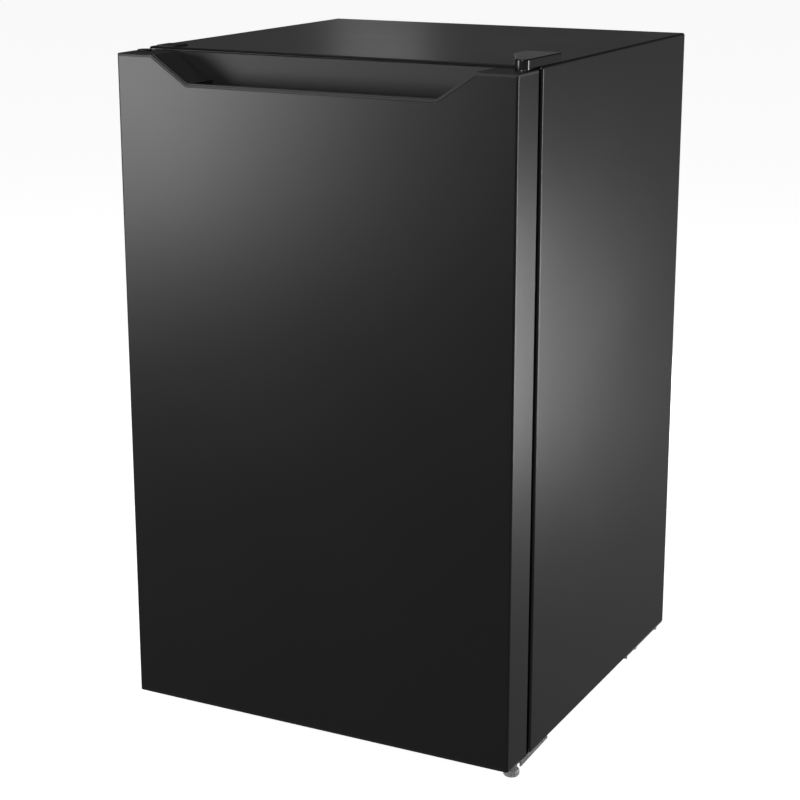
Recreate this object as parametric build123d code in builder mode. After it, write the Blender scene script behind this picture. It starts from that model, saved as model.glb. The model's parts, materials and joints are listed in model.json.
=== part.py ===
from build123d import *
import os

# Compact refrigerator with a freezer box, one STEP file for each piece.
# Origin on the floor under the middle of the refrigerator. +X is to the right seen from the front,
# +Y runs to the rear and +Z is up. All sizes are millimetres and all angles degrees.

# ---- Driving dimensions: cabinet ----
width = 513.0
depth = 530.0  # door's front face to the cabinet's rear edge
cabinet_top = 831.0  # above the floor
floor_gap = 20.0  # floor to the cabinet's underside
sheet = 1.0  # steel sheet
bend = 3.0  # outer radius of the folded steel edges
side_wall = 40.0  # insulated walls, outside face to inside face
top_wall = 45.0
rear_wall = 42.0
floor_wall = 50.0
step_wall = 35.0  # insulation between the compressor bay and the room
liner_wall = 1.5
liner_rim = 10.0  # width of the liner's rim round the door opening
rear_return = 12.0  # fold along the wrapper's rear edges
rail_return = 20.0
bay_depth = 160.0  # compressor bay
bay_height = 195.0
shield_foot = 20.5  # fold along the bottom of the bay's front wall
room_corner = 12.0  # inside corner radius of the liner

# ---- Driving dimensions: door ----
door_thickness = 54.5  # steel skin, front to rear edge
gasket_gap = 11.5  # door's rear edge to the cabinet's front face
door_drop = 2.5  # door's top below the cabinet's top
door_lift = 2.0  # door's bottom above the cabinet's bottom
cap_rim = 3.5  # height of the end cap seen round the skin's edges
door_return = 13.0
notch_top_half = 206.0  # finger notch in the door's top edge
notch_low_half = 160.5
notch_height = 31.0
notch_depth = 50.0
notch_wall = 2.5
rim_groove = 0.7  # open groove between the skin and the notch's rim
rim_step = 1.5  # step inside the notch's rim
flange_reach = 4.0  # cap's flange behind the skin
flange_depth = 2.5
lip_thickness = 5.0
well_depth = 14.0  # finger well behind the notch's lip
gasket_width = 16.0
ridge_width = 15.0
ridge_height = 36.5
ridge_gap = 11.5  # ridge's outside to the room's wall
rack_wall = 2.5
rack_floor = 3.0

# ---- Driving dimensions: hinges and feet ----
pin_inset = 12.5  # hinge axis from the door's side
pin_setback = 40.0  # hinge axis from the door's front
upper_pin_radius = 3.5
lower_pin_radius = 5.0
pin_reach = 20.0  # length of pin inside the door
hinge_plate = 3.0
bush_wall = 3.5
screw_radius = 2.4
screw_head_radius = 4.5
screw_head_height = 2.4
screw_length = 12.0
nose_radius = 8.5
cover_height = 10.0
cover_wall = 1.8
hinge_reach = 59.0  # hinge metal behind the cabinet's front face
hinge_width = 47.0
stud_radius = 3.0
foot_radius = 9.8
foot_height = 8.0
foot_travel = 12.0
left_foot_inset = 21.5
left_foot_setback = 29.0  # behind the cabinet's front face
rear_foot_radius = 11.0

# ---- Driving dimensions: fittings ----
ledge_depth = 7.0
ledge_height = 8.0
shelf_glass = 4.0
shelf_step_gap = 22.0  # lower shelf above the step over the compressor
shelf_dial_gap = 99.0  # upper shelf below the thermostat
shelf_setback = 107.0  # shelf glass behind the cabinet's front face
freezer_height = 122.0
freezer_setback = 133.0  # freezer frame behind the cabinet's front face
freezer_sheet = 1.5
frame_depth = 12.0
frame_border = 12.0
flap_thickness = 8.0
flap_pin_radius = 2.5
tray_depth = 14.0
tray_wall = 2.0
thermostat_width = 30.0
thermostat_height = 65.0
thermostat_length = 80.0
knob_radius = 19.0
knob_height = 14.0

# ---- Driving dimensions: cooling circuit ----
shell_x = 82.0  # half axes of the compressor's oval shell
shell_y = 66.0
shell_wall = 3.0
shell_height = 144.0
shell_seam = 67.0  # weld seam above the shell's bottom
bolt_inset_x = 14.0  # mounting bolts from the oval's ends
bolt_inset_y = 20.0
shell_offset = -40.0  # compressor's centre from the middle of the bay
condenser_radius = 2.4
suction_radius = 3.5
capillary_radius = 1.0
drier_radius = 9.0
drain_radius = 6.0

# ---- Clearances ----
seam = 0.2  # between fixed pieces
running = 0.05  # radial, between a pin and its bush
free = 0.5  # between a moving piece and its neighbours

# ---- Worked-out places ----
half = width / 2
inner_half = half - sheet
door_front = -depth / 2
door_rear = door_front + door_thickness
cab_front = door_rear + gasket_gap
cab_rear = depth / 2
panel_front = cab_rear - 2 * sheet - seam  # rear panel's inner face
door_top = cabinet_top - door_drop
door_bottom = floor_gap + door_lift
room_half = half - side_wall
room_floor = floor_gap + floor_wall
room_ceiling = cabinet_top - top_wall
room_back = cab_rear - rear_wall
bay_front = cab_rear - bay_depth
bay_top = floor_gap + bay_height
step_front = bay_front - step_wall
step_top = bay_top + step_wall
rim_half = room_half + liner_rim
rim_low = room_floor - liner_rim
rim_high = room_ceiling + liner_rim
pin_x = half - pin_inset
pin_y = door_front + pin_setback
hinge_rear = cab_front + hinge_reach
hinge_left = half - hinge_width
shelf_front = cab_front + shelf_setback
freezer_front = cab_front + freezer_setback
freezer_top = room_ceiling - 6.0
freezer_bottom = freezer_top - freezer_height
freezer_half = room_half - 12.5
evaporator_front = freezer_front + frame_depth
evaporator_back = room_back - 25.0
tray_top = freezer_bottom - 6.0
tray_ledge = tray_top - tray_wall
thermostat_high = tray_top - tray_depth - 12.0
thermostat_z = (thermostat_high - thermostat_height, thermostat_high)
shelf_levels = [step_top + shelf_step_gap, thermostat_z[0] - shelf_dial_gap]


def block(x, y, z, mode=Mode.ADD):
    """Adds a straight block between the low and high ends given along each axis."""
    with Locations(((x[0] + x[1]) / 2, (y[0] + y[1]) / 2, (z[0] + z[1]) / 2)):
        Box(x[1] - x[0], y[1] - y[0], z[1] - z[0], mode=mode)


def both(reach):
    """The low and high ends of a span that is the same each side of the middle."""
    return (-reach, reach)


def post(x, y, z, radius, mode=Mode.ADD):
    """Adds an upright cylinder at (x, y) between the low and high ends in z."""
    with Locations((x, y, (z[0] + z[1]) / 2)):
        Cylinder(radius, z[1] - z[0], mode=mode)


def bar(plane, x, y, length, radius, mode=Mode.ADD):
    """Adds a cylinder that starts on a plane at its local (x, y) and runs along the plane's normal."""
    with BuildSketch(plane) as section:
        with Locations((x, y)):
            Circle(radius)
    extrude(section.sketch, amount=length, mode=mode)


def slab(plane, points, amount, mode=Mode.ADD):
    """Adds the closed outline drawn on a plane, pushed along the plane's normal."""
    with BuildSketch(plane) as profile:
        with BuildLine():
            Polyline(*points, close=True)
        make_face()
    extrude(profile.sketch, amount=amount, mode=mode)


def pipe(points, radius, bends, mode=Mode.ADD):
    """Adds a round pipe along straight runs joined by tangent bends."""
    with BuildLine() as route:
        FilletPolyline(*points, radius=bends)
    with BuildSketch(Plane(route.line @ 0, z_dir=route.line % 0)) as section:
        Circle(radius)
    sweep(section.sketch, path=route.line, mode=mode)


def oval(z, grow, mode=Mode.ADD):
    """Adds the compressor's oval, grown by a margin, between two heights."""
    with BuildSketch(Plane.XY.offset(z[0])) as section:
        with Locations((shell_offset, shell_mid)):
            Ellipse(shell_x + grow, shell_y + grow)
    extrude(section.sketch, amount=z[1] - z[0], mode=mode)


def finish(piece, name):
    """Labels a finished piece and writes its file."""
    piece.part.label = name
    export_step(piece.part, f"parts/{name}.step")


os.makedirs("parts", exist_ok=True)

# ---- Forms that several pieces share ----


def cabinet_form(inset, low):
    """The cabinet's outer form drawn in by inset, with rounded top and front edges."""
    with BuildPart() as form:
        block(
            both(half - inset),
            (cab_front + inset, cab_rear - inset),
            (low, cabinet_top - inset),
        )
        front_edges = form.faces().sort_by(Axis.Y)[0].edges().sort_by(Axis.Z)[1:]
        top_edges = form.faces().sort_by(Axis.Z)[-1].edges().filter_by(Axis.Y)
        fillet(front_edges + top_edges, radius=bend - inset)
    return form.part


def room_form(grow):
    """The room inside the liner, grown by grow, with the step over the compressor bay."""
    outline = [
        (cab_front, room_floor - grow),
        (step_front + grow, room_floor - grow),
        (step_front + grow, step_top - grow),
        (room_back + grow, step_top - grow),
        (room_back + grow, room_ceiling + grow),
        (cab_front, room_ceiling + grow),
    ]
    with BuildPart() as form:
        slab(Plane.YZ.offset(-room_half - grow), outline, 2 * (room_half + grow))
        mouth = form.faces().sort_by(Axis.Y)[0].edges()
        inner_edges = [e for e in form.edges() if e not in mouth]
        fillet(inner_edges, radius=room_corner)
    return form.part


def notch_outline(grow):
    """The finger notch's outline in the door's face, grown outwards by grow."""
    slope_run = notch_top_half - notch_low_half
    lean = grow * ((slope_run**2 + notch_height**2) ** 0.5 - slope_run) / notch_height
    over = 2.0 + grow  # how far the cutter stands above the door
    low_half = notch_low_half + lean
    high_half = low_half + slope_run * (notch_height + grow + over) / notch_height
    low = door_top - notch_height - grow
    high = door_top + over
    return [(-low_half, low), (low_half, low), (high_half, high), (-high_half, high)]


def notch_form(grow, start, end, corner):
    """A solid of the finger notch from y = start to y = end, with rounded lower corners."""
    with BuildPart() as form:
        slab(Plane.XZ.offset(-start), notch_outline(grow), start - end)
        low_edges = form.edges().filter_by(Axis.Y).group_by(Axis.Z)[0]
        fillet(low_edges, radius=corner)
    return form.part


outer_form = cabinet_form(0, floor_gap)
inner_form = cabinet_form(sheet, floor_gap)
room = room_form(0)
room_outside = room_form(liner_wall)

# Places on the cooling circuit
shell_mid = bay_front + bay_depth / 2 - 1.0
shell_low = floor_gap + 17.0
seam_z = shell_low + shell_seam
shell_top = shell_low + shell_height
stub_z = seam_z - 20.0
condenser_x = inner_half - condenser_radius - seam
entry_y = cab_rear - 12.0
exit_y = cab_rear - 29.0
suction_x = shell_offset - shell_x - 30.0
suction_y = room_back + liner_wall + (panel_front - room_back - liner_wall) / 2
freezer_pipe_z = freezer_bottom + 40.0
capillary_x = suction_x + suction_radius + capillary_radius + seam
drier_x = condenser_x - 15.0
drier_low = floor_gap + 25.0
drier_high = floor_gap + 90.0
capillary_low = floor_gap + 14.0


def condenser_route():
    """Points of the condenser tube: up and down the left wall, across the bay, then the right wall."""
    runs = 6
    pitch = (entry_y - (cab_front + 40.0)) / (runs - 1)
    high, low, back = cabinet_top - 60.0, bay_top + 55.0, bay_top + 25.0
    lane = [entry_y - i * pitch for i in range(runs)]
    side = [(entry_y, bay_top - 65.0), (entry_y, high)]
    for i in range(1, runs):
        turn = high if i % 2 else low
        side += [(lane[i], turn), (lane[i], low if i % 2 else high)]
    side[-1] = (lane[-1], back)
    side += [(exit_y, back), (exit_y, bay_top - 15.0)]
    left = [(-condenser_x, y, z) for y, z in side]
    right = [(condenser_x, y, z) for y, z in reversed(side)]
    ends = [(drier_x, entry_y, drier_high + 15.0), (drier_x, entry_y, drier_high)]
    starts = [(-x, y, z) for x, y, z in reversed(ends)]
    return starts + left + right + ends


condenser_points = condenser_route()
condenser_bend = 9.0
suction_bend = 12.0
suction_points = [
    (shell_offset - shell_x, shell_mid, stub_z),
    (suction_x, shell_mid, stub_z),
    (suction_x, suction_y, stub_z),
    (suction_x, suction_y, freezer_pipe_z),
    (suction_x, evaporator_back, freezer_pipe_z),
]

# ---- Cabinet shell ----

upper_screws = [
    (half - 34.5, hinge_rear - 12.0),
    (half - 13.5, hinge_rear - 12.0),
    (half - 24.0, hinge_rear - 34.0),
]
lower_screws = [
    (half - 34.5, hinge_rear - 10.0),
    (half - 13.5, hinge_rear - 10.0),
    (half - 24.0, hinge_rear - 28.0),
]
left_foot_x = -(half - left_foot_inset)
left_foot_y = cab_front + left_foot_setback
socket_radius = stud_radius + 3.0
socket_top = floor_gap + 20.0
plate_low = floor_gap - hinge_plate
drain_x = 0.0
drain_y = room_back - 23.0

with BuildPart() as outer_wrapper:
    add(outer_form)
    add(inner_form, mode=Mode.SUBTRACT)
    block(
        both(rim_half + seam),
        (cab_front - sheet, cab_front + 2 * sheet),
        (floor_gap - sheet, rim_high + seam),
        Mode.SUBTRACT,
    )
    block(
        both(half - rear_return),
        (cab_rear - 2 * sheet, cab_rear + sheet),
        (floor_gap - sheet, cabinet_top - rear_return),
        Mode.SUBTRACT,
    )
    for x, y in upper_screws:
        post(
            x, y, (cabinet_top - 3 * sheet, cabinet_top + sheet), screw_radius, Mode.SUBTRACT
        )
finish(outer_wrapper, "outer_wrapper")

with BuildPart() as front_rail:
    block(both(rim_half), (cab_front, cab_front + sheet), (floor_gap, rim_low - seam))
    block(both(rim_half), (cab_front, cab_front + rail_return), (floor_gap, floor_gap + sheet))
    block(
        both(inner_half - seam),
        (cab_front + bend + seam, cab_front + rail_return),
        (floor_gap, floor_gap + sheet),
    )
finish(front_rail, "front_rail")

with BuildPart() as bottom_pan:
    block(
        both(inner_half - seam),
        (cab_front + rail_return + seam, bay_front),
        (floor_gap, floor_gap + sheet),
    )
    post(
        left_foot_x,
        left_foot_y,
        (plate_low, socket_top),
        socket_radius + seam,
        Mode.SUBTRACT,
    )
    for x, y in lower_screws:
        post(x, y, (plate_low, socket_top), screw_radius, Mode.SUBTRACT)
finish(bottom_pan, "bottom_pan")

with BuildPart() as rear_panel:
    block(
        both(inner_half - seam),
        (panel_front, panel_front + sheet),
        (bay_top, cabinet_top - sheet - seam),
    )
    fillet(rear_panel.edges().filter_by(Axis.Y).group_by(Axis.Z)[-1], radius=bend)
    # two shallow stiffening swages pressed into the panel
    for x in (-room_half / 2, room_half / 2):
        block(
            (x - 30.0, x + 30.0),
            (panel_front + sheet / 2, panel_front + sheet),
            (step_top + 60.0, room_ceiling - 60.0),
            Mode.SUBTRACT,
        )
finish(rear_panel, "rear_panel")

with BuildPart() as bay_shield:
    block(both(inner_half - seam), (bay_front, bay_front + sheet), (floor_gap, bay_top + sheet))
    block(
        both(inner_half - seam), (bay_front, panel_front - seam), (bay_top, bay_top + sheet)
    )
    # foot of the shield, lapping the compressor's base plate
    block(
        both(inner_half - seam), (bay_front, bay_front + shield_foot), (floor_gap, floor_gap + sheet)
    )
    tube_notch = condenser_x - condenser_radius - 2.0
    for side in (-1, 1):
        block(
            tuple(sorted((side * tube_notch, side * half))),
            (exit_y - 6.0, panel_front),
            (bay_top - sheet, bay_top + 2 * sheet),
            Mode.SUBTRACT,
        )
    block(
        (suction_x - suction_radius - 2.0, capillary_x + capillary_radius + 2.0),
        (suction_y - suction_radius - 2.0, suction_y + suction_radius + 2.0),
        (bay_top - sheet, bay_top + 2 * sheet),
        Mode.SUBTRACT,
    )
    post(
        drain_x,
        drain_y,
        (bay_top - sheet, bay_top + 2 * sheet),
        drain_radius + seam,
        Mode.SUBTRACT,
    )
finish(bay_shield, "bay_shield")

# ---- Inner liner and insulation ----

with BuildPart() as inner_liner:
    add(room_outside)
    block(
        both(rim_half - seam),
        (cab_front, cab_front + liner_wall),
        (rim_low + seam, rim_high - seam),
    )
    add(room, mode=Mode.SUBTRACT)
    for level in shelf_levels:
        for side in (-1, 1):
            block(
                tuple(
                    sorted(
                        (side * (room_half - ledge_depth), side * (room_half + liner_wall / 2))
                    )
                ),
                (shelf_front, room_back - 20.0),
                (level - ledge_height, level),
            )
    for side in (-1, 1):
        block(
            tuple(
                sorted((side * (room_half - ledge_depth), side * (room_half + liner_wall / 2)))
            ),
            (freezer_front + frame_depth, room_back - 20.0),
            (tray_ledge - ledge_height, tray_ledge),
        )
    post(
        drain_x,
        drain_y,
        (step_top - 2 * liner_wall, step_top + liner_wall),
        drain_radius,
        Mode.SUBTRACT,
    )
    block(
        (suction_x - suction_radius - 1.0, capillary_x + capillary_radius + 1.0),
        (room_back - liner_wall, room_back + 2 * liner_wall),
        (
            freezer_pipe_z - suction_radius - 1.0,
            freezer_pipe_z + suction_radius + 1.0,
        ),
        Mode.SUBTRACT,
    )
finish(inner_liner, "inner_liner")

with BuildPart() as cabinet_foam:
    add(inner_form)
    block(both(half), (cab_front, cab_rear), (floor_gap - sheet, floor_gap + sheet), Mode.SUBTRACT)
    block(both(half), (bay_front, cab_rear), (floor_gap, bay_top + sheet), Mode.SUBTRACT)
    block(both(half), (panel_front, cab_rear), (bay_top, cabinet_top), Mode.SUBTRACT)
    add(room_outside, mode=Mode.SUBTRACT)
    block(
        both(rim_half - seam),
        (cab_front, cab_front + liner_wall),
        (rim_low + seam, rim_high - seam),
        Mode.SUBTRACT,
    )
    pipe(condenser_points, condenser_radius + seam / 2, condenser_bend, Mode.SUBTRACT)
    pipe(suction_points, suction_radius + seam, suction_bend, Mode.SUBTRACT)
    block(
        (suction_x - suction_radius - seam, capillary_x + capillary_radius + seam),
        (suction_y - suction_radius - seam, suction_y + suction_radius + seam),
        (bay_top, freezer_pipe_z + suction_radius + seam),
        Mode.SUBTRACT,
    )
    block(
        (suction_x - suction_radius - seam, capillary_x + capillary_radius + seam),
        (room_back, suction_y),
        (freezer_pipe_z - suction_radius - seam, freezer_pipe_z + suction_radius + seam),
        Mode.SUBTRACT,
    )
    post(drain_x, drain_y, (bay_top, step_top), drain_radius + seam, Mode.SUBTRACT)
    post(
        left_foot_x,
        left_foot_y,
        (floor_gap, socket_top + seam),
        socket_radius + seam,
        Mode.SUBTRACT,
    )
    for x, y in upper_screws:
        post(
            x,
            y,
            (cabinet_top - screw_length - hinge_plate, cabinet_top),
            screw_radius + seam,
            Mode.SUBTRACT,
        )
    for x, y in lower_screws:
        post(
            x, y, (floor_gap, floor_gap + screw_length), screw_radius + seam, Mode.SUBTRACT
        )
finish(cabinet_foam, "cabinet_foam")

# ---- Top hinge ----

plate_top = cabinet_top + hinge_plate
heel_radius = 3.0
heel_corners = [
    (half - 2.0 - heel_radius, hinge_rear - heel_radius),
    (hinge_left + heel_radius, hinge_rear - heel_radius),
    (hinge_left + heel_radius, hinge_rear - 31.0),
    (hinge_left + 8.0, cab_front + 21.0),
]


def hinge_outline(inset):
    """The top hinge's outline: a round nose over the pin and a square heel on the cabinet."""
    with BuildSketch(Plane.XY.offset(cabinet_top)) as outline:
        with Locations((pin_x, pin_y)):
            Circle(nose_radius - inset)
        with Locations(*heel_corners):
            Circle(heel_radius - inset)
        make_hull()
    return outline.sketch


with BuildPart() as upper_hinge_plate:
    extrude(hinge_outline(cover_wall + seam), amount=hinge_plate)
    post(pin_x, pin_y, (cabinet_top - 1.0, plate_top + 1.0), upper_pin_radius, Mode.SUBTRACT)
    for x, y in upper_screws:
        post(x, y, (cabinet_top - 1.0, plate_top + 1.0), screw_radius, Mode.SUBTRACT)
finish(upper_hinge_plate, "upper_hinge_plate")

with BuildPart() as upper_hinge_pin:
    post(pin_x, pin_y, (door_top - pin_reach, plate_top), upper_pin_radius)
    post(pin_x, pin_y, (plate_top, plate_top + 2.0), upper_pin_radius + 1.5)
    chamfer(upper_hinge_pin.faces().sort_by(Axis.Z)[0].edges(), length=1.0)
finish(upper_hinge_pin, "upper_hinge_pin")

with BuildPart() as upper_hinge_screws:
    for x, y in upper_screws:
        post(x, y, (cabinet_top - screw_length, plate_top), screw_radius)
        post(x, y, (plate_top, plate_top + screw_head_height), screw_head_radius)
finish(upper_hinge_screws, "upper_hinge_screws")

with BuildPart() as upper_hinge_cover:
    extrude(hinge_outline(0), amount=cover_height)
    fillet(upper_hinge_cover.faces().sort_by(Axis.Z)[-1].edges(), radius=1.6)
    post(pin_x, pin_y, (door_top + 1.0, cabinet_top + 1.0), nose_radius)
    extrude(hinge_outline(cover_wall), amount=cover_height - cover_wall, mode=Mode.SUBTRACT)
    post(
        pin_x,
        pin_y,
        (door_top, cabinet_top + 1.0),
        nose_radius - cover_wall,
        Mode.SUBTRACT,
    )
finish(upper_hinge_cover, "upper_hinge_cover")

with BuildPart() as spare_hinge_cover:
    block(
        (-(half - 8.0), -(half - 36.0)),
        (cab_front + bend, cab_front + 34.0),
        (cabinet_top, cabinet_top + 1.6),
    )
    fillet(spare_hinge_cover.edges().filter_by(Axis.Z), radius=5.0)
    fillet(spare_hinge_cover.faces().sort_by(Axis.Z)[-1].edges(), radius=0.8)
finish(spare_hinge_cover, "spare_hinge_cover")

# ---- Bottom hinge and feet ----

lower_nose = foot_radius
with BuildPart() as lower_hinge_bracket:
    with BuildSketch(Plane.XY.offset(plate_low)):
        with Locations((pin_x, pin_y)):
            Circle(lower_nose)
        with Locations((hinge_left + 4.0, hinge_rear - 5.0), (half - 5.0, hinge_rear - 5.0)):
            Circle(4.0)
        with Locations((hinge_left + 4.0, cab_front + 8.0)):
            Circle(4.0)
        make_hull()
    extrude(amount=hinge_plate)
    slab(
        Plane.YZ.offset(half - 3.0),
        [
            (hinge_rear - 5.0, floor_gap),
            (hinge_rear - 3.0, floor_gap - 5.0),
            (pin_y + 2.0, floor_gap - 8.0),
            (pin_y + 2.0, floor_gap),
        ],
        2.0,
    )
    post(pin_x, pin_y, (plate_low - 1.0, floor_gap + 1.0), lower_pin_radius, Mode.SUBTRACT)
    for x, y in lower_screws:
        post(x, y, (plate_low - 1.0, floor_gap + 1.0), screw_radius, Mode.SUBTRACT)
finish(lower_hinge_bracket, "lower_hinge_bracket")

stud_top = foot_height + 22.0
with BuildPart() as lower_hinge_pin:
    post(pin_x, pin_y, (foot_height + 2.0, plate_low), lower_pin_radius + 2.0)
    post(pin_x, pin_y, (plate_low, door_bottom + pin_reach), lower_pin_radius)
    chamfer(lower_hinge_pin.faces().sort_by(Axis.Z)[-1].edges(), length=1.0)
    post(
        pin_x,
        pin_y,
        (foot_height, stud_top + 2.0),
        stud_radius + running,
        Mode.SUBTRACT,
    )
finish(lower_hinge_pin, "lower_hinge_pin")

with BuildPart() as lower_hinge_screws:
    for x, y in lower_screws:
        post(x, y, (plate_low, floor_gap + screw_length), screw_radius)
        post(x, y, (plate_low - screw_head_height, plate_low), screw_head_radius)
finish(lower_hinge_screws, "lower_hinge_screws")

with BuildPart() as left_foot_socket:
    with BuildSketch(Plane.XY.offset(plate_low)):
        with Locations((left_foot_x, left_foot_y)):
            RectangleRounded(38.0, 44.0, 4.0)
    extrude(amount=hinge_plate)
    post(left_foot_x, left_foot_y, (foot_height + 2.0, socket_top), socket_radius)
    post(
        left_foot_x,
        left_foot_y,
        (foot_height, stud_top + 2.0),
        stud_radius + running,
        Mode.SUBTRACT,
    )
finish(left_foot_socket, "left_foot_socket")

for name, x, y in (
    ("levelling_foot_right", pin_x, pin_y),
    ("levelling_foot_left", left_foot_x, left_foot_y),
):
    with BuildPart() as foot:
        post(x, y, (0, foot_height), foot_radius)
        fillet(foot.faces().sort_by(Axis.Z)[0].edges(), radius=2.5)
        chamfer(foot.faces().sort_by(Axis.Z)[-1].edges(), length=1.0)
        post(x, y, (foot_height, stud_top), stud_radius)
    finish(foot, name)

base_low = floor_gap - 2.0
rear_foot_x = half - 28.5
rear_foot_y = cab_rear - 30.0
with BuildPart() as rear_feet:
    for x in (-rear_foot_x, rear_foot_x):
        post(x, rear_foot_y, (0, base_low), rear_foot_radius)
    fillet(rear_feet.faces().group_by(Axis.Z)[0].edges(), radius=2.0)
finish(rear_feet, "rear_feet")

# ---- Door ----

cap_top_low = door_top - cap_rim
cap_bottom_high = door_bottom + cap_rim
notch_floor = door_top - notch_height
skin_inner = door_front + sheet
pocket_back = door_front + notch_depth
boss_radius = pin_inset - sheet - 1.5
liner_front = door_rear - liner_wall
bush_radius = upper_pin_radius + running + bush_wall
lower_bush_radius = lower_pin_radius + running + 3.0
lower_boss_radius = lower_bush_radius + 2.0
pocket_outside = notch_form(cap_rim, door_front, pocket_back + notch_wall, 7.0)
pocket_inside = notch_form(0, door_front - 1.0, pocket_back, 5.0)
pocket_step = notch_form(rim_step, door_front - 1.0, door_front + rim_step, 6.0)
pocket_flange = notch_form(
    cap_rim + flange_reach, skin_inner + seam, skin_inner + flange_depth, 9.0
)
skin_cut = notch_form(cap_rim + rim_groove, door_front - 1.0, door_front + 4 * sheet, 7.0)
flange_cut = notch_form(
    cap_rim + flange_reach + seam, door_front - 1.0, skin_inner + flange_depth + seam, 9.0
)
foam_cut = notch_form(
    cap_rim + seam, door_front - 1.0, pocket_back + notch_wall + seam, 7.0
)


def door_form(inset, z, rear):
    """The door's outer form drawn in by inset, between two heights, with rounded front edges."""
    with BuildPart() as form:
        block(both(half - inset), (door_front + inset, rear), z)
        fillet(
            form.edges().filter_by(Axis.Z).group_by(Axis.Y)[0],
            radius=bend - inset,
        )
    return form.part


skin_span = (cap_bottom_high, cap_top_low)
with BuildPart() as door_skin:
    add(door_form(0, skin_span, door_rear))
    add(door_form(sheet, skin_span, door_rear - sheet), mode=Mode.SUBTRACT)
    block(
        both(half - door_return),
        (door_rear - 2 * sheet, door_rear + sheet),
        skin_span,
        Mode.SUBTRACT,
    )
    add(skin_cut, mode=Mode.SUBTRACT)
finish(door_skin, "door_skin")

with BuildPart() as door_top_cap:
    add(door_form(0, (cap_top_low, door_top), door_rear))
    fillet(door_top_cap.faces().sort_by(Axis.Z)[-1].edges(), radius=1.2)
    add(pocket_outside)
    add(pocket_flange)
    block(
        both(notch_low_half + notch_wall),
        (skin_inner + seam, pocket_back + notch_wall),
        (notch_floor - well_depth - notch_wall, notch_floor - cap_rim / 2),
    )
    for side in (-1, 1):
        post(side * pin_x, pin_y, (door_top - pin_reach - 3.0, door_top - 1.0), boss_radius)
    add(door_form(0, (door_top, door_top + 20.0), door_rear), mode=Mode.SUBTRACT)
    add(pocket_inside, mode=Mode.SUBTRACT)
    add(pocket_step, mode=Mode.SUBTRACT)
    block(
        both(notch_low_half - 4.0),
        (door_front + lip_thickness, pocket_back),
        (notch_floor - well_depth, notch_floor + 1.0),
        Mode.SUBTRACT,
    )
    for side in (-1, 1):
        post(
            side * pin_x, pin_y, (door_top - pin_reach - 1.0, door_top), bush_radius, Mode.SUBTRACT
        )
finish(door_top_cap, "door_top_cap")

with BuildPart() as door_bottom_cap:
    add(door_form(0, (door_bottom, cap_bottom_high), door_rear))
    fillet(door_bottom_cap.faces().sort_by(Axis.Z)[0].edges(), radius=1.2)
    for side in (-1, 1):
        post(
            side * pin_x,
            pin_y,
            (door_bottom + 1.0, door_bottom + pin_reach + 3.0),
            lower_boss_radius,
        )
    for side in (-1, 1):
        post(
            side * pin_x,
            pin_y,
            (door_bottom, door_bottom + pin_reach + 1.0),
            lower_bush_radius,
            Mode.SUBTRACT,
        )
finish(door_bottom_cap, "door_bottom_cap")

ridge_out = room_half - ridge_gap
ridge_low = room_floor + ridge_gap
ridge_high = room_ceiling - ridge_gap
ridge_face = door_rear + ridge_height


def ridge(inset, y, mode=Mode.ADD):
    """Adds the door liner's raised ring, drawn in all round by inset."""
    out, width_in = ridge_out - inset, ridge_out - ridge_width + inset
    with BuildSketch(Plane.XZ.offset(-y[1])) as section:
        with Locations((0, (ridge_low + ridge_high) / 2)):
            tall = (ridge_high - ridge_low) / 2
            RectangleRounded(2 * out, 2 * (tall - inset), 14.0)
            RectangleRounded(
                2 * width_in,
                2 * (tall - ridge_width + inset),
                8.0,
                mode=Mode.SUBTRACT,
            )
    extrude(section.sketch, amount=y[1] - y[0], mode=mode)


liner_half = half - door_return - seam
with BuildPart() as door_liner:
    block(both(liner_half), (liner_front, door_rear), skin_span)
    ridge(0, (liner_front, ridge_face))
    ridge(liner_wall, (liner_front, ridge_face - liner_wall), Mode.SUBTRACT)
finish(door_liner, "door_liner")

with BuildPart() as door_foam:
    add(door_form(sheet + seam, skin_span, liner_front))
    ridge(liner_wall + seam, (liner_front, ridge_face - liner_wall - seam))
    add(foam_cut, mode=Mode.SUBTRACT)
    add(flange_cut, mode=Mode.SUBTRACT)
    block(
        both(notch_low_half + notch_wall + seam),
        (skin_inner, pocket_back + notch_wall + seam),
        (notch_floor - well_depth - notch_wall - seam, notch_floor),
        Mode.SUBTRACT,
    )
    for side in (-1, 1):
        post(
            side * pin_x,
            pin_y,
            (door_top - pin_reach - 3.0 - seam, door_top),
            boss_radius + seam,
            Mode.SUBTRACT,
        )
        post(
            side * pin_x,
            pin_y,
            (door_bottom, door_bottom + pin_reach + 3.0 + seam),
            lower_boss_radius + seam,
            Mode.SUBTRACT,
        )
finish(door_foam, "door_foam")

gasket_half = pin_x - free
gasket_low = rim_low - gasket_width - 10.0
gasket_high = rim_high + gasket_width + 6.0
with BuildPart() as door_gasket:
    block(both(gasket_half), (door_rear, cab_front - free), (gasket_low, gasket_high))
    block(
        both(gasket_half - gasket_width),
        (door_rear, cab_front),
        (gasket_low + gasket_width, gasket_high - gasket_width),
        Mode.SUBTRACT,
    )
    # the bellows fold round the outside and the inside of the seal
    fold = (door_rear + 3.0, door_rear + 5.0)
    block(both(half), fold, (gasket_low, gasket_low + 4.0), Mode.SUBTRACT)
    block(both(half), fold, (gasket_high - 4.0, gasket_high), Mode.SUBTRACT)
    for side in (-1, 1):
        block(
            tuple(sorted((side * (gasket_half - 4.0), side * half))),
            fold,
            (gasket_low, gasket_high),
            Mode.SUBTRACT,
        )
finish(door_gasket, "door_gasket")

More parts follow.
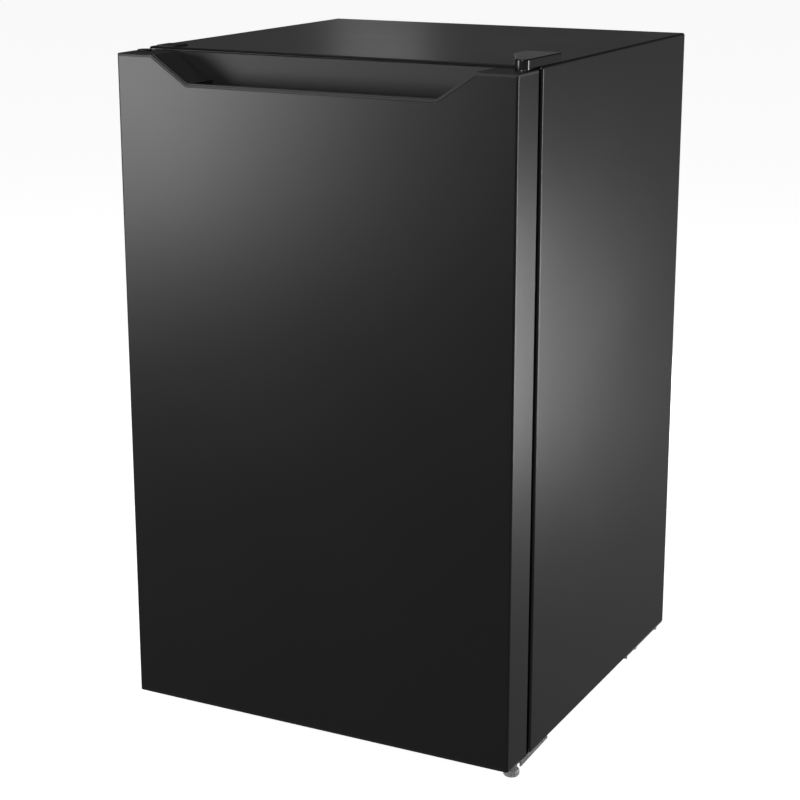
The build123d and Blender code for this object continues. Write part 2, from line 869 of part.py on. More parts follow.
with BuildPart() as door_bushings:
    post(pin_x, pin_y, (door_top - pin_reach - 1.0, door_top), bush_radius)
    post(
        pin_x,
        pin_y,
        (door_top - pin_reach - 1.0, door_top),
        upper_pin_radius + running,
        Mode.SUBTRACT,
    )
    post(pin_x, pin_y, (door_bottom, door_bottom + pin_reach + 1.0), lower_bush_radius)
    post(pin_x, pin_y, (floor_gap + free, door_bottom), lower_bush_radius + 1.0)
    post(
        pin_x,
        pin_y,
        (floor_gap, door_bottom + pin_reach + 1.0),
        lower_pin_radius + running,
        Mode.SUBTRACT,
    )
finish(door_bushings, "door_bushings")

with BuildPart() as spare_hole_plugs:
    post(-pin_x, pin_y, (door_top - 12.0, door_top), bush_radius)
    post(-pin_x, pin_y, (door_top, door_top + 1.5), bush_radius + 1.5)
    post(-pin_x, pin_y, (door_bottom, door_bottom + 12.0), lower_bush_radius)
    post(-pin_x, pin_y, (door_bottom - 1.5, door_bottom), lower_bush_radius + 1.0)
finish(spare_hole_plugs, "spare_hole_plugs")

rack_half = ridge_out - ridge_width - seam
for name, low, tall, reach in (
    ("door_rack_lower", ridge_low + ridge_width + 10.0, 95.0, 88.0),
    ("door_rack_middle", room_floor + 262.0, 62.0, 76.0),
    ("door_rack_upper", room_floor + 452.0, 62.0, 66.0),
):
    rack_front, rack_back = door_rear + seam, door_rear + reach
    with BuildPart() as rack:
        block(both(rack_half), (rack_front, rack_back), (low, low + tall))
        fillet(rack.edges().filter_by(Axis.Z).group_by(Axis.Y)[-1], radius=12.0)
        with BuildPart(mode=Mode.PRIVATE) as hollow:
            block(
                both(rack_half - rack_wall),
                (rack_front + rack_wall, rack_back - rack_wall),
                (low + rack_floor, low + tall + 1.0),
            )
            fillet(hollow.edges().filter_by(Axis.Z).group_by(Axis.Y)[-1], radius=12.0 - rack_wall)
        add(hollow.part, mode=Mode.SUBTRACT)
        block(
            both(rack_half - rack_wall),
            (rack_front - 1.0, rack_front + 2 * rack_wall),
            (low + 25.0, low + tall + 1.0),
            Mode.SUBTRACT,
        )
        # long slots in the wall that holds the bottles
        slot_count = 3 if tall > 80.0 else 1
        for i in range(slot_count):
            slot_low = low + 22.0 + 20.0 * i
            block(
                both(rack_half - 40.0),
                (rack_back - 2 * rack_wall, rack_back + 1.0),
                (slot_low, slot_low + 9.0),
                Mode.SUBTRACT,
            )
    finish(rack, name)

# ---- Shelves ----

shelf_half = room_half - 2.5
shelf_back = room_back - 18.0
for place, level in zip(("lower", "upper"), shelf_levels):
    with BuildPart() as glass_shelf:
        block(both(shelf_half), (shelf_front, shelf_back), (level, level + shelf_glass))
        fillet(glass_shelf.edges().filter_by(Axis.Z).group_by(Axis.Y)[-1], radius=6.0)
    finish(glass_shelf, f"glass_shelf_{place}")

    with BuildPart() as shelf_trim:
        slab(
            Plane.YZ.offset(-shelf_half),
            [
                (shelf_front - 9.0, level - 6.0),
                (shelf_front - 1.0, level - 6.0),
                (shelf_front - 1.0, level),
                (shelf_front - seam, level),
                (shelf_front - seam, level + shelf_glass + seam),
                (shelf_front + 7.0, level + shelf_glass + seam),
                (shelf_front + 7.0, level + shelf_glass + 2.0),
                (shelf_front - 5.0, level + shelf_glass + 5.0),
                (shelf_front - 9.0, level + shelf_glass + 3.0),
            ],
            2 * shelf_half,
        )
    finish(shelf_trim, f"shelf_trim_{place}")

# ---- Freezer ----

with BuildPart() as evaporator_box:
    block(
        both(freezer_half), (evaporator_front, evaporator_back), (freezer_bottom, freezer_top)
    )
    fillet(evaporator_box.edges().filter_by(Axis.Y), radius=8.0)
    with BuildPart(mode=Mode.PRIVATE) as freezer_room:
        block(
            both(freezer_half - freezer_sheet),
            (evaporator_front - 1.0, evaporator_back + 1.0),
            (freezer_bottom + freezer_sheet, freezer_top - freezer_sheet),
        )
        fillet(freezer_room.edges().filter_by(Axis.Y), radius=8.0 - freezer_sheet)
    add(freezer_room.part, mode=Mode.SUBTRACT)
    block(
        both(freezer_half),
        (evaporator_back - freezer_sheet, evaporator_back),
        (freezer_bottom + 6.0, freezer_top - 6.0),
    )
    for x in (-freezer_half + 40.0, freezer_half - 40.0):
        for y in (evaporator_front + 40.0, evaporator_back - 40.0):
            post(x, y, (freezer_top - freezer_sheet / 2, room_ceiling), 7.0)
finish(evaporator_box, "evaporator_box")

frame_half = freezer_half + 5.0
frame_low = freezer_bottom - 4.0
frame_high = freezer_top + 4.0
mouth_half = frame_half - frame_border
mouth_low = frame_low + frame_border
mouth_high = frame_high - frame_border
flap_axis_y = freezer_front + flap_thickness / 2
flap_axis_z = mouth_high - flap_thickness / 2 - free
flap_half = mouth_half - free
flap_low = mouth_low + free
with BuildPart() as freezer_frame:
    block(both(frame_half), (freezer_front, evaporator_front), (frame_low, frame_high))
    fillet(freezer_frame.edges().filter_by(Axis.Y), radius=6.0)
    block(
        both(mouth_half),
        (freezer_front - 1.0, evaporator_front + 1.0),
        (mouth_low, mouth_high),
        Mode.SUBTRACT,
    )
    # stop that the closed flap lies against
    block(
        both(mouth_half),
        (freezer_front + flap_thickness + free, evaporator_front),
        (mouth_low, mouth_low + 5.0),
    )
    bar(
        Plane.YZ.offset(-frame_half + 4.0),
        flap_axis_y,
        flap_axis_z,
        2 * (frame_half - 4.0),
        flap_pin_radius + running,
        Mode.SUBTRACT,
    )
finish(freezer_frame, "freezer_frame")

with BuildPart() as freezer_flap:
    block(
        both(flap_half),
        (freezer_front, freezer_front + flap_thickness),
        (flap_low, flap_axis_z),
    )
    bar(
        Plane.YZ.offset(-flap_half),
        flap_axis_y,
        flap_axis_z,
        2 * flap_half,
        flap_thickness / 2,
    )
    bar(
        Plane.YZ.offset(-mouth_half - 6.0),
        flap_axis_y,
        flap_axis_z,
        2 * (mouth_half + 6.0),
        flap_pin_radius,
    )
    # hollow behind the face, and a finger lip across the lower edge
    block(
        both(flap_half - 2.5),
        (freezer_front + 2.5, freezer_front + flap_thickness + 1.0),
        (flap_low + 2.5, flap_axis_z - flap_thickness / 2 - 2.0),
        Mode.SUBTRACT,
    )
    block(both(45.0), (freezer_front - 8.0, freezer_front), (flap_low + 12.0, flap_low + 16.0))
finish(freezer_flap, "freezer_flap")

with BuildPart() as drip_tray:
    tray_half = room_half - ledge_depth - 2.0
    tray_span = (evaporator_front + 1.0, room_back - 22.0)
    block(both(tray_half), tray_span, (tray_top - tray_depth, tray_top))
    block(
        both(room_half - 1.0),
        tray_span,
        (tray_top - tray_wall, tray_top),
    )
    block(
        both(tray_half - tray_wall),
        (tray_span[0] + tray_wall, tray_span[1] - tray_wall),
        (tray_top - tray_depth + tray_wall, tray_top + 1.0),
        Mode.SUBTRACT,
    )
finish(drip_tray, "drip_tray")

# ---- Thermostat ----

thermostat_front = cab_front + 89.0
thermostat_y = (thermostat_front, thermostat_front + thermostat_length)
thermostat_face = room_half - thermostat_width
knob_y = sum(thermostat_y) / 2
knob_z = sum(thermostat_z) / 2
with BuildPart() as thermostat_housing:
    block((thermostat_face, room_half), thermostat_y, thermostat_z)
    fillet(thermostat_housing.edges().filter_by(Axis.X), radius=10.0)
    fillet(thermostat_housing.faces().sort_by(Axis.X)[0].edges(), radius=3.0)
    block(
        (thermostat_face + 12.0, room_half),
        (thermostat_y[0] + 8.0, thermostat_y[1] - 8.0),
        (thermostat_z[0] + 8.0, thermostat_z[1] - 8.0),
        Mode.SUBTRACT,
    )
    bar(
        Plane.YZ.offset(thermostat_face - 1.0), knob_y, knob_z, 14.0, 3.0 + running, Mode.SUBTRACT
    )
finish(thermostat_housing, "thermostat_housing")

with BuildPart() as thermostat_knob:
    bar(
        Plane.YZ.offset(thermostat_face - free - knob_height),
        knob_y,
        knob_z,
        knob_height,
        knob_radius,
    )
    fillet(thermostat_knob.faces().sort_by(Axis.X)[0].edges(), radius=2.0)
    bar(Plane.YZ.offset(thermostat_face - free), knob_y, knob_z, 12.0 + free, 3.0)
    # two scoops leave a grip bar across the dial
    for side in (-1, 1):
        low, high = sorted((side * 4.5, side * knob_radius))
        block(
            (thermostat_face - free - knob_height, thermostat_face - free - 6.0),
            (knob_y + low, knob_y + high),
            (knob_z - knob_radius, knob_z + knob_radius),
            Mode.SUBTRACT,
        )
finish(thermostat_knob, "thermostat_knob")

sensor_radius = 1.2
sensor_x = room_half - 3.5
sensor_y = freezer_front - 6.0
sensor_z = freezer_bottom + 62.0
with BuildPart() as thermostat_sensor:
    pipe(
        [
            (sensor_x, sensor_y, thermostat_high),
            (sensor_x, sensor_y, sensor_z),
            (sensor_x, evaporator_front + 60.0, sensor_z),
            (freezer_half + sensor_radius + 0.1, evaporator_front + 90.0, sensor_z),
            (freezer_half + sensor_radius + 0.1, evaporator_front + 180.0, sensor_z),
        ],
        sensor_radius,
        8.0,
    )
finish(thermostat_sensor, "thermostat_sensor")

# ---- Compressor bay ----

bolt_places = [
    (shell_offset + sx * (shell_x - bolt_inset_x), shell_mid + sy * (shell_y - bolt_inset_y))
    for sx in (-1, 1)
    for sy in (-1, 1)
]
stand_x = (shell_offset + 132.0, shell_offset + 190.0)
stand_y = (cab_rear - 6.0, cab_rear - 4.0)
gland_x = shell_offset + 168.0
earth_x = shell_offset + 144.0
fixing_z = floor_gap + 30.0
with BuildPart() as compressor_base:
    block(both(half - seam), (bay_front + 21.0, cab_rear - 1.0), (base_low, floor_gap))
    block(
        both(half - seam), (bay_front + 21.0, bay_front + 23.0), (base_low - 3.5, floor_gap)
    )
    for side in (-1, 1):
        block(
            tuple(sorted((side * (half - 2.2), side * (half - seam)))),
            (bay_front + 52.0, bay_front + 58.0),
            (base_low - 2.0, floor_gap),
        )
        block(
            tuple(sorted((side * (half - 2.2), side * (half - seam)))),
            (bay_front + 131.0, bay_front + 137.0),
            (base_low - 2.5, floor_gap),
        )
    block(stand_x, stand_y, (base_low, floor_gap + 45.0))
    bar(
        Plane.XZ.offset(-stand_y[1] - 1.0), gland_x, fixing_z, 4.0, 8.0, Mode.SUBTRACT
    )
    bar(
        Plane.XZ.offset(-stand_y[1] - 1.0), earth_x, fixing_z, 4.0, screw_radius, Mode.SUBTRACT
    )
    for x, y in bolt_places:
        post(x, y, (base_low - 1.0, floor_gap + 1.0), 4.0, Mode.SUBTRACT)
finish(compressor_base, "compressor_base")

foot_low = shell_low - hinge_plate
with BuildPart() as compressor_feet:
    with BuildSketch(Plane.XY.offset(foot_low)):
        with Locations(*bolt_places):
            Circle(14.0)
        make_hull()
        with Locations(*bolt_places):
            Circle(8.0, mode=Mode.SUBTRACT)
        with Locations((shell_offset, shell_mid)):
            RectangleRounded(70.0, 50.0, 10.0, mode=Mode.SUBTRACT)
    extrude(amount=hinge_plate)
finish(compressor_feet, "compressor_feet")

grommet_top = shell_low + 5.0
with BuildPart() as compressor_grommets:
    for x, y in bolt_places:
        post(x, y, (floor_gap, foot_low), 12.0)
        post(x, y, (foot_low, shell_low), 8.0)
        post(x, y, (shell_low, grommet_top), 10.5)
        post(x, y, (floor_gap, grommet_top), 4.0, Mode.SUBTRACT)
finish(compressor_grommets, "compressor_grommets")

with BuildPart() as compressor_bolts:
    for x, y in bolt_places:
        post(x, y, (base_low, grommet_top), 4.0)
        with BuildSketch(Plane.XY.offset(grommet_top)) as hexagon:
            with Locations((x, y)):
                RegularPolygon(7.0, 6)
        extrude(hexagon.sketch, amount=5.0)
finish(compressor_bolts, "compressor_bolts")

with BuildPart() as compressor_lower_shell:
    oval((shell_low, seam_z), 0)
    fillet(compressor_lower_shell.faces().sort_by(Axis.Z)[0].edges(), radius=22.0)
    oval((seam_z - 4.0, seam_z), 3.5)
    with BuildPart(mode=Mode.PRIVATE) as hollow:
        oval((shell_low + shell_wall, seam_z + 1.0), -shell_wall)
        fillet(hollow.faces().sort_by(Axis.Z)[0].edges(), radius=22.0 - shell_wall)
    add(hollow.part, mode=Mode.SUBTRACT)
finish(compressor_lower_shell, "compressor_lower_shell")

with BuildPart() as compressor_upper_shell:
    oval((seam_z, shell_top), 0)
    fillet(compressor_upper_shell.faces().sort_by(Axis.Z)[-1].edges(), radius=28.0)
    oval((seam_z, seam_z + 3.0), 3.5)
    with BuildPart(mode=Mode.PRIVATE) as hollow:
        oval((seam_z - 1.0, shell_top - shell_wall), -shell_wall)
        fillet(hollow.faces().sort_by(Axis.Z)[-1].edges(), radius=28.0 - shell_wall)
    add(hollow.part, mode=Mode.SUBTRACT)
finish(compressor_upper_shell, "compressor_upper_shell")

cover_x = shell_offset + shell_x
with BuildPart() as terminal_cover:
    block(
        (cover_x - 14.0, cover_x + 26.0),
        (shell_mid - 26.0, shell_mid + 26.0),
        (shell_low + 25.0, seam_z + 20.0),
    )
    fillet(terminal_cover.faces().sort_by(Axis.X)[-1].edges(), radius=6.0)
    block(
        (cover_x - 14.0, cover_x + 24.0),
        (shell_mid - 24.0, shell_mid + 24.0),
        (shell_low + 27.0, seam_z + 18.0),
        Mode.SUBTRACT,
    )
    oval((shell_low, shell_top), seam, Mode.SUBTRACT)
    oval((seam_z - 4.0 - seam, seam_z + 3.0 + seam), 3.5 + seam, Mode.SUBTRACT)
finish(terminal_cover, "terminal_cover")

with BuildPart() as suction_tube:
    pipe(suction_points, suction_radius, suction_bend)
finish(suction_tube, "suction_tube")

stub_x = shell_offset - shell_x * 0.86
with BuildPart() as discharge_tube:
    pipe(
        [
            (stub_x, shell_mid - shell_y * 0.52, stub_z),
            (stub_x - 26.0, shell_mid - shell_y * 0.80, stub_z),
            (-drier_x, shell_mid - shell_y * 0.80, stub_z),
            (-drier_x, entry_y, stub_z),
            (-drier_x, entry_y, drier_high),
        ],
        condenser_radius,
        7.0,
    )
finish(discharge_tube, "discharge_tube")

with BuildPart() as process_tube:
    pipe(
        [
            (stub_x, shell_mid + shell_y * 0.52, stub_z),
            (stub_x - 22.0, shell_mid + shell_y * 0.78, stub_z),
            (stub_x - 22.0, shell_mid + shell_y * 0.78, stub_z + 45.0),
        ],
        3.0,
        8.0,
    )
finish(process_tube, "process_tube")

with BuildPart() as condenser_tube:
    pipe(condenser_points, condenser_radius, condenser_bend)
finish(condenser_tube, "condenser_tube")

with BuildPart() as filter_drier:
    post(drier_x, entry_y, (drier_low, drier_high), drier_radius)
    chamfer(filter_drier.edges(), length=5.0)
finish(filter_drier, "filter_drier")

with BuildPart() as capillary_tube:
    pipe(
        [
            (drier_x, entry_y, drier_low),
            (drier_x, entry_y, capillary_low),
            (capillary_x, entry_y, capillary_low),
            (capillary_x, entry_y, bay_top - 80.0),
            (capillary_x, suction_y, bay_top - 60.0),
            (capillary_x, suction_y, freezer_pipe_z),
            (capillary_x, evaporator_back, freezer_pipe_z),
        ],
        capillary_radius,
        5.0,
    )
finish(capillary_tube, "capillary_tube")

with BuildPart() as evaporation_pan:
    pan_x = (shell_offset - 70.0, shell_offset + 70.0)
    pan_y = (shell_mid - 50.0, exit_y - condenser_radius - 4.0)
    pan_z = (shell_top, bay_top - 10.0)
    block(pan_x, pan_y, pan_z)
    fillet(evaporation_pan.edges().filter_by(Axis.Z), radius=10.0)
    block(
        (pan_x[0] + 2.5, pan_x[1] - 2.5),
        (pan_y[0] + 2.5, pan_y[1] - 2.5),
        (pan_z[0] + 2.5, pan_z[1] + 1.0),
        Mode.SUBTRACT,
    )
finish(evaporation_pan, "evaporation_pan")

with BuildPart() as drain_tube:
    drain_z = (bay_top - 22.0, step_top - liner_wall)
    post(drain_x, drain_y, drain_z, drain_radius)
    post(drain_x, drain_y, drain_z, drain_radius - 1.2, Mode.SUBTRACT)
finish(drain_tube, "drain_tube")

with BuildPart() as cord_gland:
    bar(Plane.XZ.offset(-cab_rear + 1.0), gland_x, fixing_z, 12.0, 8.0)
    bar(Plane.XZ.offset(-cab_rear + 1.0), gland_x, fixing_z, 3.0, 10.5)
    fillet(cord_gland.faces().sort_by(Axis.Y)[-1].edges(), radius=1.0)
    bar(Plane.XZ.offset(-cab_rear), gland_x, fixing_z, 20.0, 3.6, Mode.SUBTRACT)
finish(cord_gland, "cord_gland")

with BuildPart() as earth_screw:
    bar(Plane.XZ.offset(-stand_y[1]), earth_x, fixing_z, 8.0, screw_radius)
    bar(Plane.XZ.offset(-stand_y[1] - 2.4), earth_x, fixing_z, 2.4, screw_head_radius)
finish(earth_screw, "earth_screw")
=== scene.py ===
"""Looks of a compact refrigerator with a freezer box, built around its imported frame."""

from __future__ import annotations

import json
import logging
import math
from dataclasses import dataclass, field
from enum import Enum

import bmesh
import bpy
from mathutils import Matrix, Vector

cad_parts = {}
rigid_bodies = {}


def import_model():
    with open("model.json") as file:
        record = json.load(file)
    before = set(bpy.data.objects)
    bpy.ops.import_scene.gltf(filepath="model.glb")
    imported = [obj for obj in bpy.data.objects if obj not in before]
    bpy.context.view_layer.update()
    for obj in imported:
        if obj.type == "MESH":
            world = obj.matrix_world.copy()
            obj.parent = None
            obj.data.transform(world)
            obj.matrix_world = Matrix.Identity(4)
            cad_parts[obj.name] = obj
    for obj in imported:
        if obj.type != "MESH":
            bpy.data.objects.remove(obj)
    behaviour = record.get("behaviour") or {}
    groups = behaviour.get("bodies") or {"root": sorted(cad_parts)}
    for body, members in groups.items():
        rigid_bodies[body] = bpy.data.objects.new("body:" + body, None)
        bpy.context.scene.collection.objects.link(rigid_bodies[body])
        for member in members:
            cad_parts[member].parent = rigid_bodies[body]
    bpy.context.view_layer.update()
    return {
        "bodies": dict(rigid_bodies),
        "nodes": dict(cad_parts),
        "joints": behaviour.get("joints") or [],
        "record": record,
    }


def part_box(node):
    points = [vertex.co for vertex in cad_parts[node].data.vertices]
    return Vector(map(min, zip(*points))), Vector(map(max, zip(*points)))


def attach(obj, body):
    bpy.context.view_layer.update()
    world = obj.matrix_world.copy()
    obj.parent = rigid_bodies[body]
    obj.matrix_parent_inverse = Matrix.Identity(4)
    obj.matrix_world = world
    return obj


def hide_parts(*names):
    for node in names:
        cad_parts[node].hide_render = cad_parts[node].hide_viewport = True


LOG = logging.getLogger("refrigerator")
MM = 0.001
LINE_DEPTH = 0.1 * MM
GRAIN_DEPTH = 0.1 * MM
PEEL_DEPTH = 0.12 * MM
RIPPLE_DEPTH = 0.2 * MM
WHITE = (1.0, 1.0, 1.0, 1.0)
Colour = tuple[float, float, float]
Triple = tuple[float, float, float]
Pair = tuple[float, float]


# ---------------------------------------------------------------- shader groups


class GroupName(Enum):
    """Effects that more than one finish places with its own values."""

    GRAIN = "moulded_grain"
    PEEL = "paint_peel"
    TONE = "tone_drift"
    DUST = "settled_dust"
    SPANGLE = "plating_spangle"
    BRUSHED = "drawn_lines"


@dataclass
class EffectGroups:
    """Builds each shared effect once, as a shader node group."""

    made: dict[GroupName, bpy.types.NodeTree] = field(default_factory=dict)

    def get(self, name: GroupName) -> bpy.types.NodeTree:
        """Returns a group, building it the first time.

        Args:
            name: the effect wanted.

        Returns:
            The node group of that effect.
        """
        if name not in self.made:
            build = {
                GroupName.GRAIN: self._grain,
                GroupName.PEEL: self._peel,
                GroupName.TONE: self._tone,
                GroupName.DUST: self._dust,
                GroupName.SPANGLE: self._spangle,
                GroupName.BRUSHED: self._brushed,
            }[name]
            self.made[name] = build(name.value)
        return self.made[name]

    def _start(
        self, name: str, inputs: dict[str, float | Colour], outputs: dict[str, str]
    ) -> tuple[bpy.types.NodeTree, bpy.types.Node, bpy.types.Node]:
        """Makes an empty group with its sockets.

        Args:
            name: the group's name.
            inputs: each input's name and default, a number or a colour.
            outputs: each output's name and socket type.

        Returns:
            The group, its input node and its output node.
        """
        tree = bpy.data.node_groups.new(name, "ShaderNodeTree")
        for label, value in inputs.items():
            kind = "NodeSocketFloat" if isinstance(value, float) else "NodeSocketColor"
            socket = tree.interface.new_socket(name=label, in_out="INPUT", socket_type=kind)
            socket.default_value = value if isinstance(value, float) else (*value, 1.0)
        for label, kind in outputs.items():
            tree.interface.new_socket(name=label, in_out="OUTPUT", socket_type=kind)
        return tree, tree.nodes.new("NodeGroupInput"), tree.nodes.new("NodeGroupOutput")

    @staticmethod
    def _place(tree: bpy.types.NodeTree) -> bpy.types.NodeSocket:
        """Returns the coordinates of the object being shaded."""
        return tree.nodes.new("ShaderNodeTexCoord").outputs["Object"]

    def _grain(self, name: str) -> bpy.types.NodeTree:
        """Fine pebbled grain of a mould's etched face.

        Args:
            name: the group's name.

        Returns:
            A group with a Height and a Mask.
        """
        tree, given, result = self._start(
            name,
            {"Scale": 900.0, "Softness": 0.5},
            {"Height": "NodeSocketFloat", "Mask": "NodeSocketFloat"},
        )
        cells = tree.nodes.new("ShaderNodeTexVoronoi")
        cells.feature = "SMOOTH_F1"
        noise = tree.nodes.new("ShaderNodeTexNoise")
        noise.inputs["Detail"].default_value = 3.0
        mix = tree.nodes.new("ShaderNodeMath")
        mix.operation = "MULTIPLY_ADD"
        place = self._place(tree)
        tree.links.new(place, cells.inputs["Vector"])
        tree.links.new(place, noise.inputs["Vector"])
        tree.links.new(given.outputs["Scale"], cells.inputs["Scale"])
        tree.links.new(given.outputs["Softness"], cells.inputs["Smoothness"])
        tree.links.new(given.outputs["Scale"], noise.inputs["Scale"])
        tree.links.new(noise.outputs["Fac"], mix.inputs[0])
        mix.inputs[1].default_value = 0.5
        tree.links.new(cells.outputs["Distance"], mix.inputs[2])
        tree.links.new(mix.outputs["Value"], result.inputs["Height"])
        tree.links.new(noise.outputs["Fac"], result.inputs["Mask"])
        return tree

    def _peel(self, name: str) -> bpy.types.NodeTree:
        """Low orange-peel ripple of baked powder paint.

        Args:
            name: the group's name.

        Returns:
            A group with a Height and a Mask.
        """
        tree, given, result = self._start(
            name,
            {"Scale": 420.0, "Fine": 0.35},
            {"Height": "NodeSocketFloat", "Mask": "NodeSocketFloat"},
        )
        place = self._place(tree)
        ripple = tree.nodes.new("ShaderNodeTexNoise")
        ripple.inputs["Detail"].default_value = 1.5
        ripple.inputs["Roughness"].default_value = 0.4
        speck = tree.nodes.new("ShaderNodeTexNoise")
        speck.inputs["Detail"].default_value = 4.0
        faster = tree.nodes.new("ShaderNodeMath")
        faster.operation = "MULTIPLY"
        faster.inputs[1].default_value = 4.7
        add = tree.nodes.new("ShaderNodeMath")
        add.operation = "MULTIPLY_ADD"
        tree.links.new(place, ripple.inputs["Vector"])
        tree.links.new(place, speck.inputs["Vector"])
        tree.links.new(given.outputs["Scale"], ripple.inputs["Scale"])
        tree.links.new(given.outputs["Scale"], faster.inputs[0])
        tree.links.new(faster.outputs["Value"], speck.inputs["Scale"])
        tree.links.new(speck.outputs["Fac"], add.inputs[0])
        tree.links.new(given.outputs["Fine"], add.inputs[1])
        tree.links.new(ripple.outputs["Fac"], add.inputs[2])
        tree.links.new(add.outputs["Value"], result.inputs["Height"])
        tree.links.new(ripple.outputs["Fac"], result.inputs["Mask"])
        return tree

    def _tone(self, name: str) -> bpy.types.NodeTree:
        """Slow drift of a colour and of its gloss over a surface.

        Args:
            name: the group's name.

        Returns:
            A group with a Colour and a Roughness.
        """
        tree, given, result = self._start(
            name,
            {
                "Colour": (0.5, 0.5, 0.5),
                "Drift": 0.1,
                "Scale": 6.0,
                "Roughness": 0.4,
                "Spread": 0.05,
            },
            {"Colour": "NodeSocketColor", "Roughness": "NodeSocketFloat"},
        )
        noise = tree.nodes.new("ShaderNodeTexNoise")
        noise.inputs["Detail"].default_value = 5.0
        centred = tree.nodes.new("ShaderNodeMath")
        centred.operation = "SUBTRACT"
        centred.inputs[1].default_value = 0.5
        shade = tree.nodes.new("ShaderNodeMath")
        shade.operation = "MULTIPLY_ADD"
        shade.inputs[2].default_value = 1.0
        tinted = tree.nodes.new("ShaderNodeMix")
        tinted.data_type = "RGBA"
        tinted.blend_type = "MULTIPLY"
        tinted.inputs["Factor"].default_value = 1.0
        gloss = tree.nodes.new("ShaderNodeMath")
        gloss.operation = "MULTIPLY_ADD"
        tree.links.new(self._place(tree), noise.inputs["Vector"])
        tree.links.new(given.outputs["Scale"], noise.inputs["Scale"])
        tree.links.new(noise.outputs["Fac"], centred.inputs[0])
        tree.links.new(centred.outputs["Value"], shade.inputs[0])
        tree.links.new(given.outputs["Drift"], shade.inputs[1])
        tree.links.new(given.outputs["Colour"], tinted.inputs["A"])
        tree.links.new(shade.outputs["Value"], tinted.inputs["B"])
        tree.links.new(centred.outputs["Value"], gloss.inputs[0])
        tree.links.new(given.outputs["Spread"], gloss.inputs[1])
        tree.links.new(given.outputs["Roughness"], gloss.inputs[2])
        tree.links.new(tinted.outputs["Result"], result.inputs["Colour"])
        tree.links.new(gloss.outputs["Value"], result.inputs["Roughness"])
        return tree

    def _dust(self, name: str) -> bpy.types.NodeTree:
        """Faint dust that lies on faces looking upwards.

        Args:
            name: the group's name.

        Returns:
            A group with a Colour and a Mask.
        """
        tree, given, result = self._start(
            name,
            {"Colour": (0.1, 0.1, 0.1), "Dust": (0.42, 0.40, 0.37), "Amount": 0.05},
            {"Colour": "NodeSocketColor", "Mask": "NodeSocketFloat"},
        )
        shape = tree.nodes.new("ShaderNodeNewGeometry")
        upward = tree.nodes.new("ShaderNodeSeparateXYZ")
        level = tree.nodes.new("ShaderNodeMath")
        level.operation = "MAXIMUM"
        level.inputs[1].default_value = 0.0
        noise = tree.nodes.new("ShaderNodeTexNoise")
        noise.inputs["Scale"].default_value = 160.0
        noise.inputs["Detail"].default_value = 8.0
        lying = tree.nodes.new("ShaderNodeMath")
        lying.operation = "MULTIPLY"
        scaled = tree.nodes.new("ShaderNodeMath")
        scaled.operation = "MULTIPLY"
        mix = tree.nodes.new("ShaderNodeMix")
        mix.data_type = "RGBA"
        tree.links.new(shape.outputs["Normal"], upward.inputs["Vector"])
        tree.links.new(upward.outputs["Z"], level.inputs[0])
        tree.links.new(self._place(tree), noise.inputs["Vector"])
        tree.links.new(level.outputs["Value"], lying.inputs[0])
        tree.links.new(noise.outputs["Fac"], lying.inputs[1])
        tree.links.new(lying.outputs["Value"], scaled.inputs[0])
        tree.links.new(given.outputs["Amount"], scaled.inputs[1])
        tree.links.new(scaled.outputs["Value"], mix.inputs["Factor"])
        tree.links.new(given.outputs["Colour"], mix.inputs["A"])
        tree.links.new(given.outputs["Dust"], mix.inputs["B"])
        tree.links.new(mix.outputs["Result"], result.inputs["Colour"])
        tree.links.new(scaled.outputs["Value"], result.inputs["Mask"])
        return tree

    def _spangle(self, name: str) -> bpy.types.NodeTree:
        """Crystal patches of zinc plating.

        Args:
            name: the group's name.

        Returns:
            A group with a Colour and a Roughness.
        """
        tree, given, result = self._start(
            name,
            {
                "Light": (0.8, 0.8, 0.8),
                "Dark": (0.6, 0.6, 0.62),
                "Scale": 240.0,
                "Roughness": 0.3,
            },
            {"Colour": "NodeSocketColor", "Roughness": "NodeSocketFloat"},
        )
        cells = tree.nodes.new("ShaderNodeTexVoronoi")
        patch = tree.nodes.new("ShaderNodeSeparateColor")
        mix = tree.nodes.new("ShaderNodeMix")
        mix.data_type = "RGBA"
        gloss = tree.nodes.new("ShaderNodeMath")
        gloss.operation = "MULTIPLY_ADD"
        gloss.inputs[1].default_value = 0.12
        tree.links.new(self._place(tree), cells.inputs["Vector"])
        tree.links.new(given.outputs["Scale"], cells.inputs["Scale"])
        tree.links.new(cells.outputs["Color"], patch.inputs["Color"])
        tree.links.new(patch.outputs["Red"], mix.inputs["Factor"])
        tree.links.new(given.outputs["Dark"], mix.inputs["A"])
        tree.links.new(given.outputs["Light"], mix.inputs["B"])
        tree.links.new(patch.outputs["Green"], gloss.inputs[0])
        tree.links.new(given.outputs["Roughness"], gloss.inputs[2])
        tree.links.new(mix.outputs["Result"], result.inputs["Colour"])
        tree.links.new(gloss.outputs["Value"], result.inputs["Roughness"])
        return tree

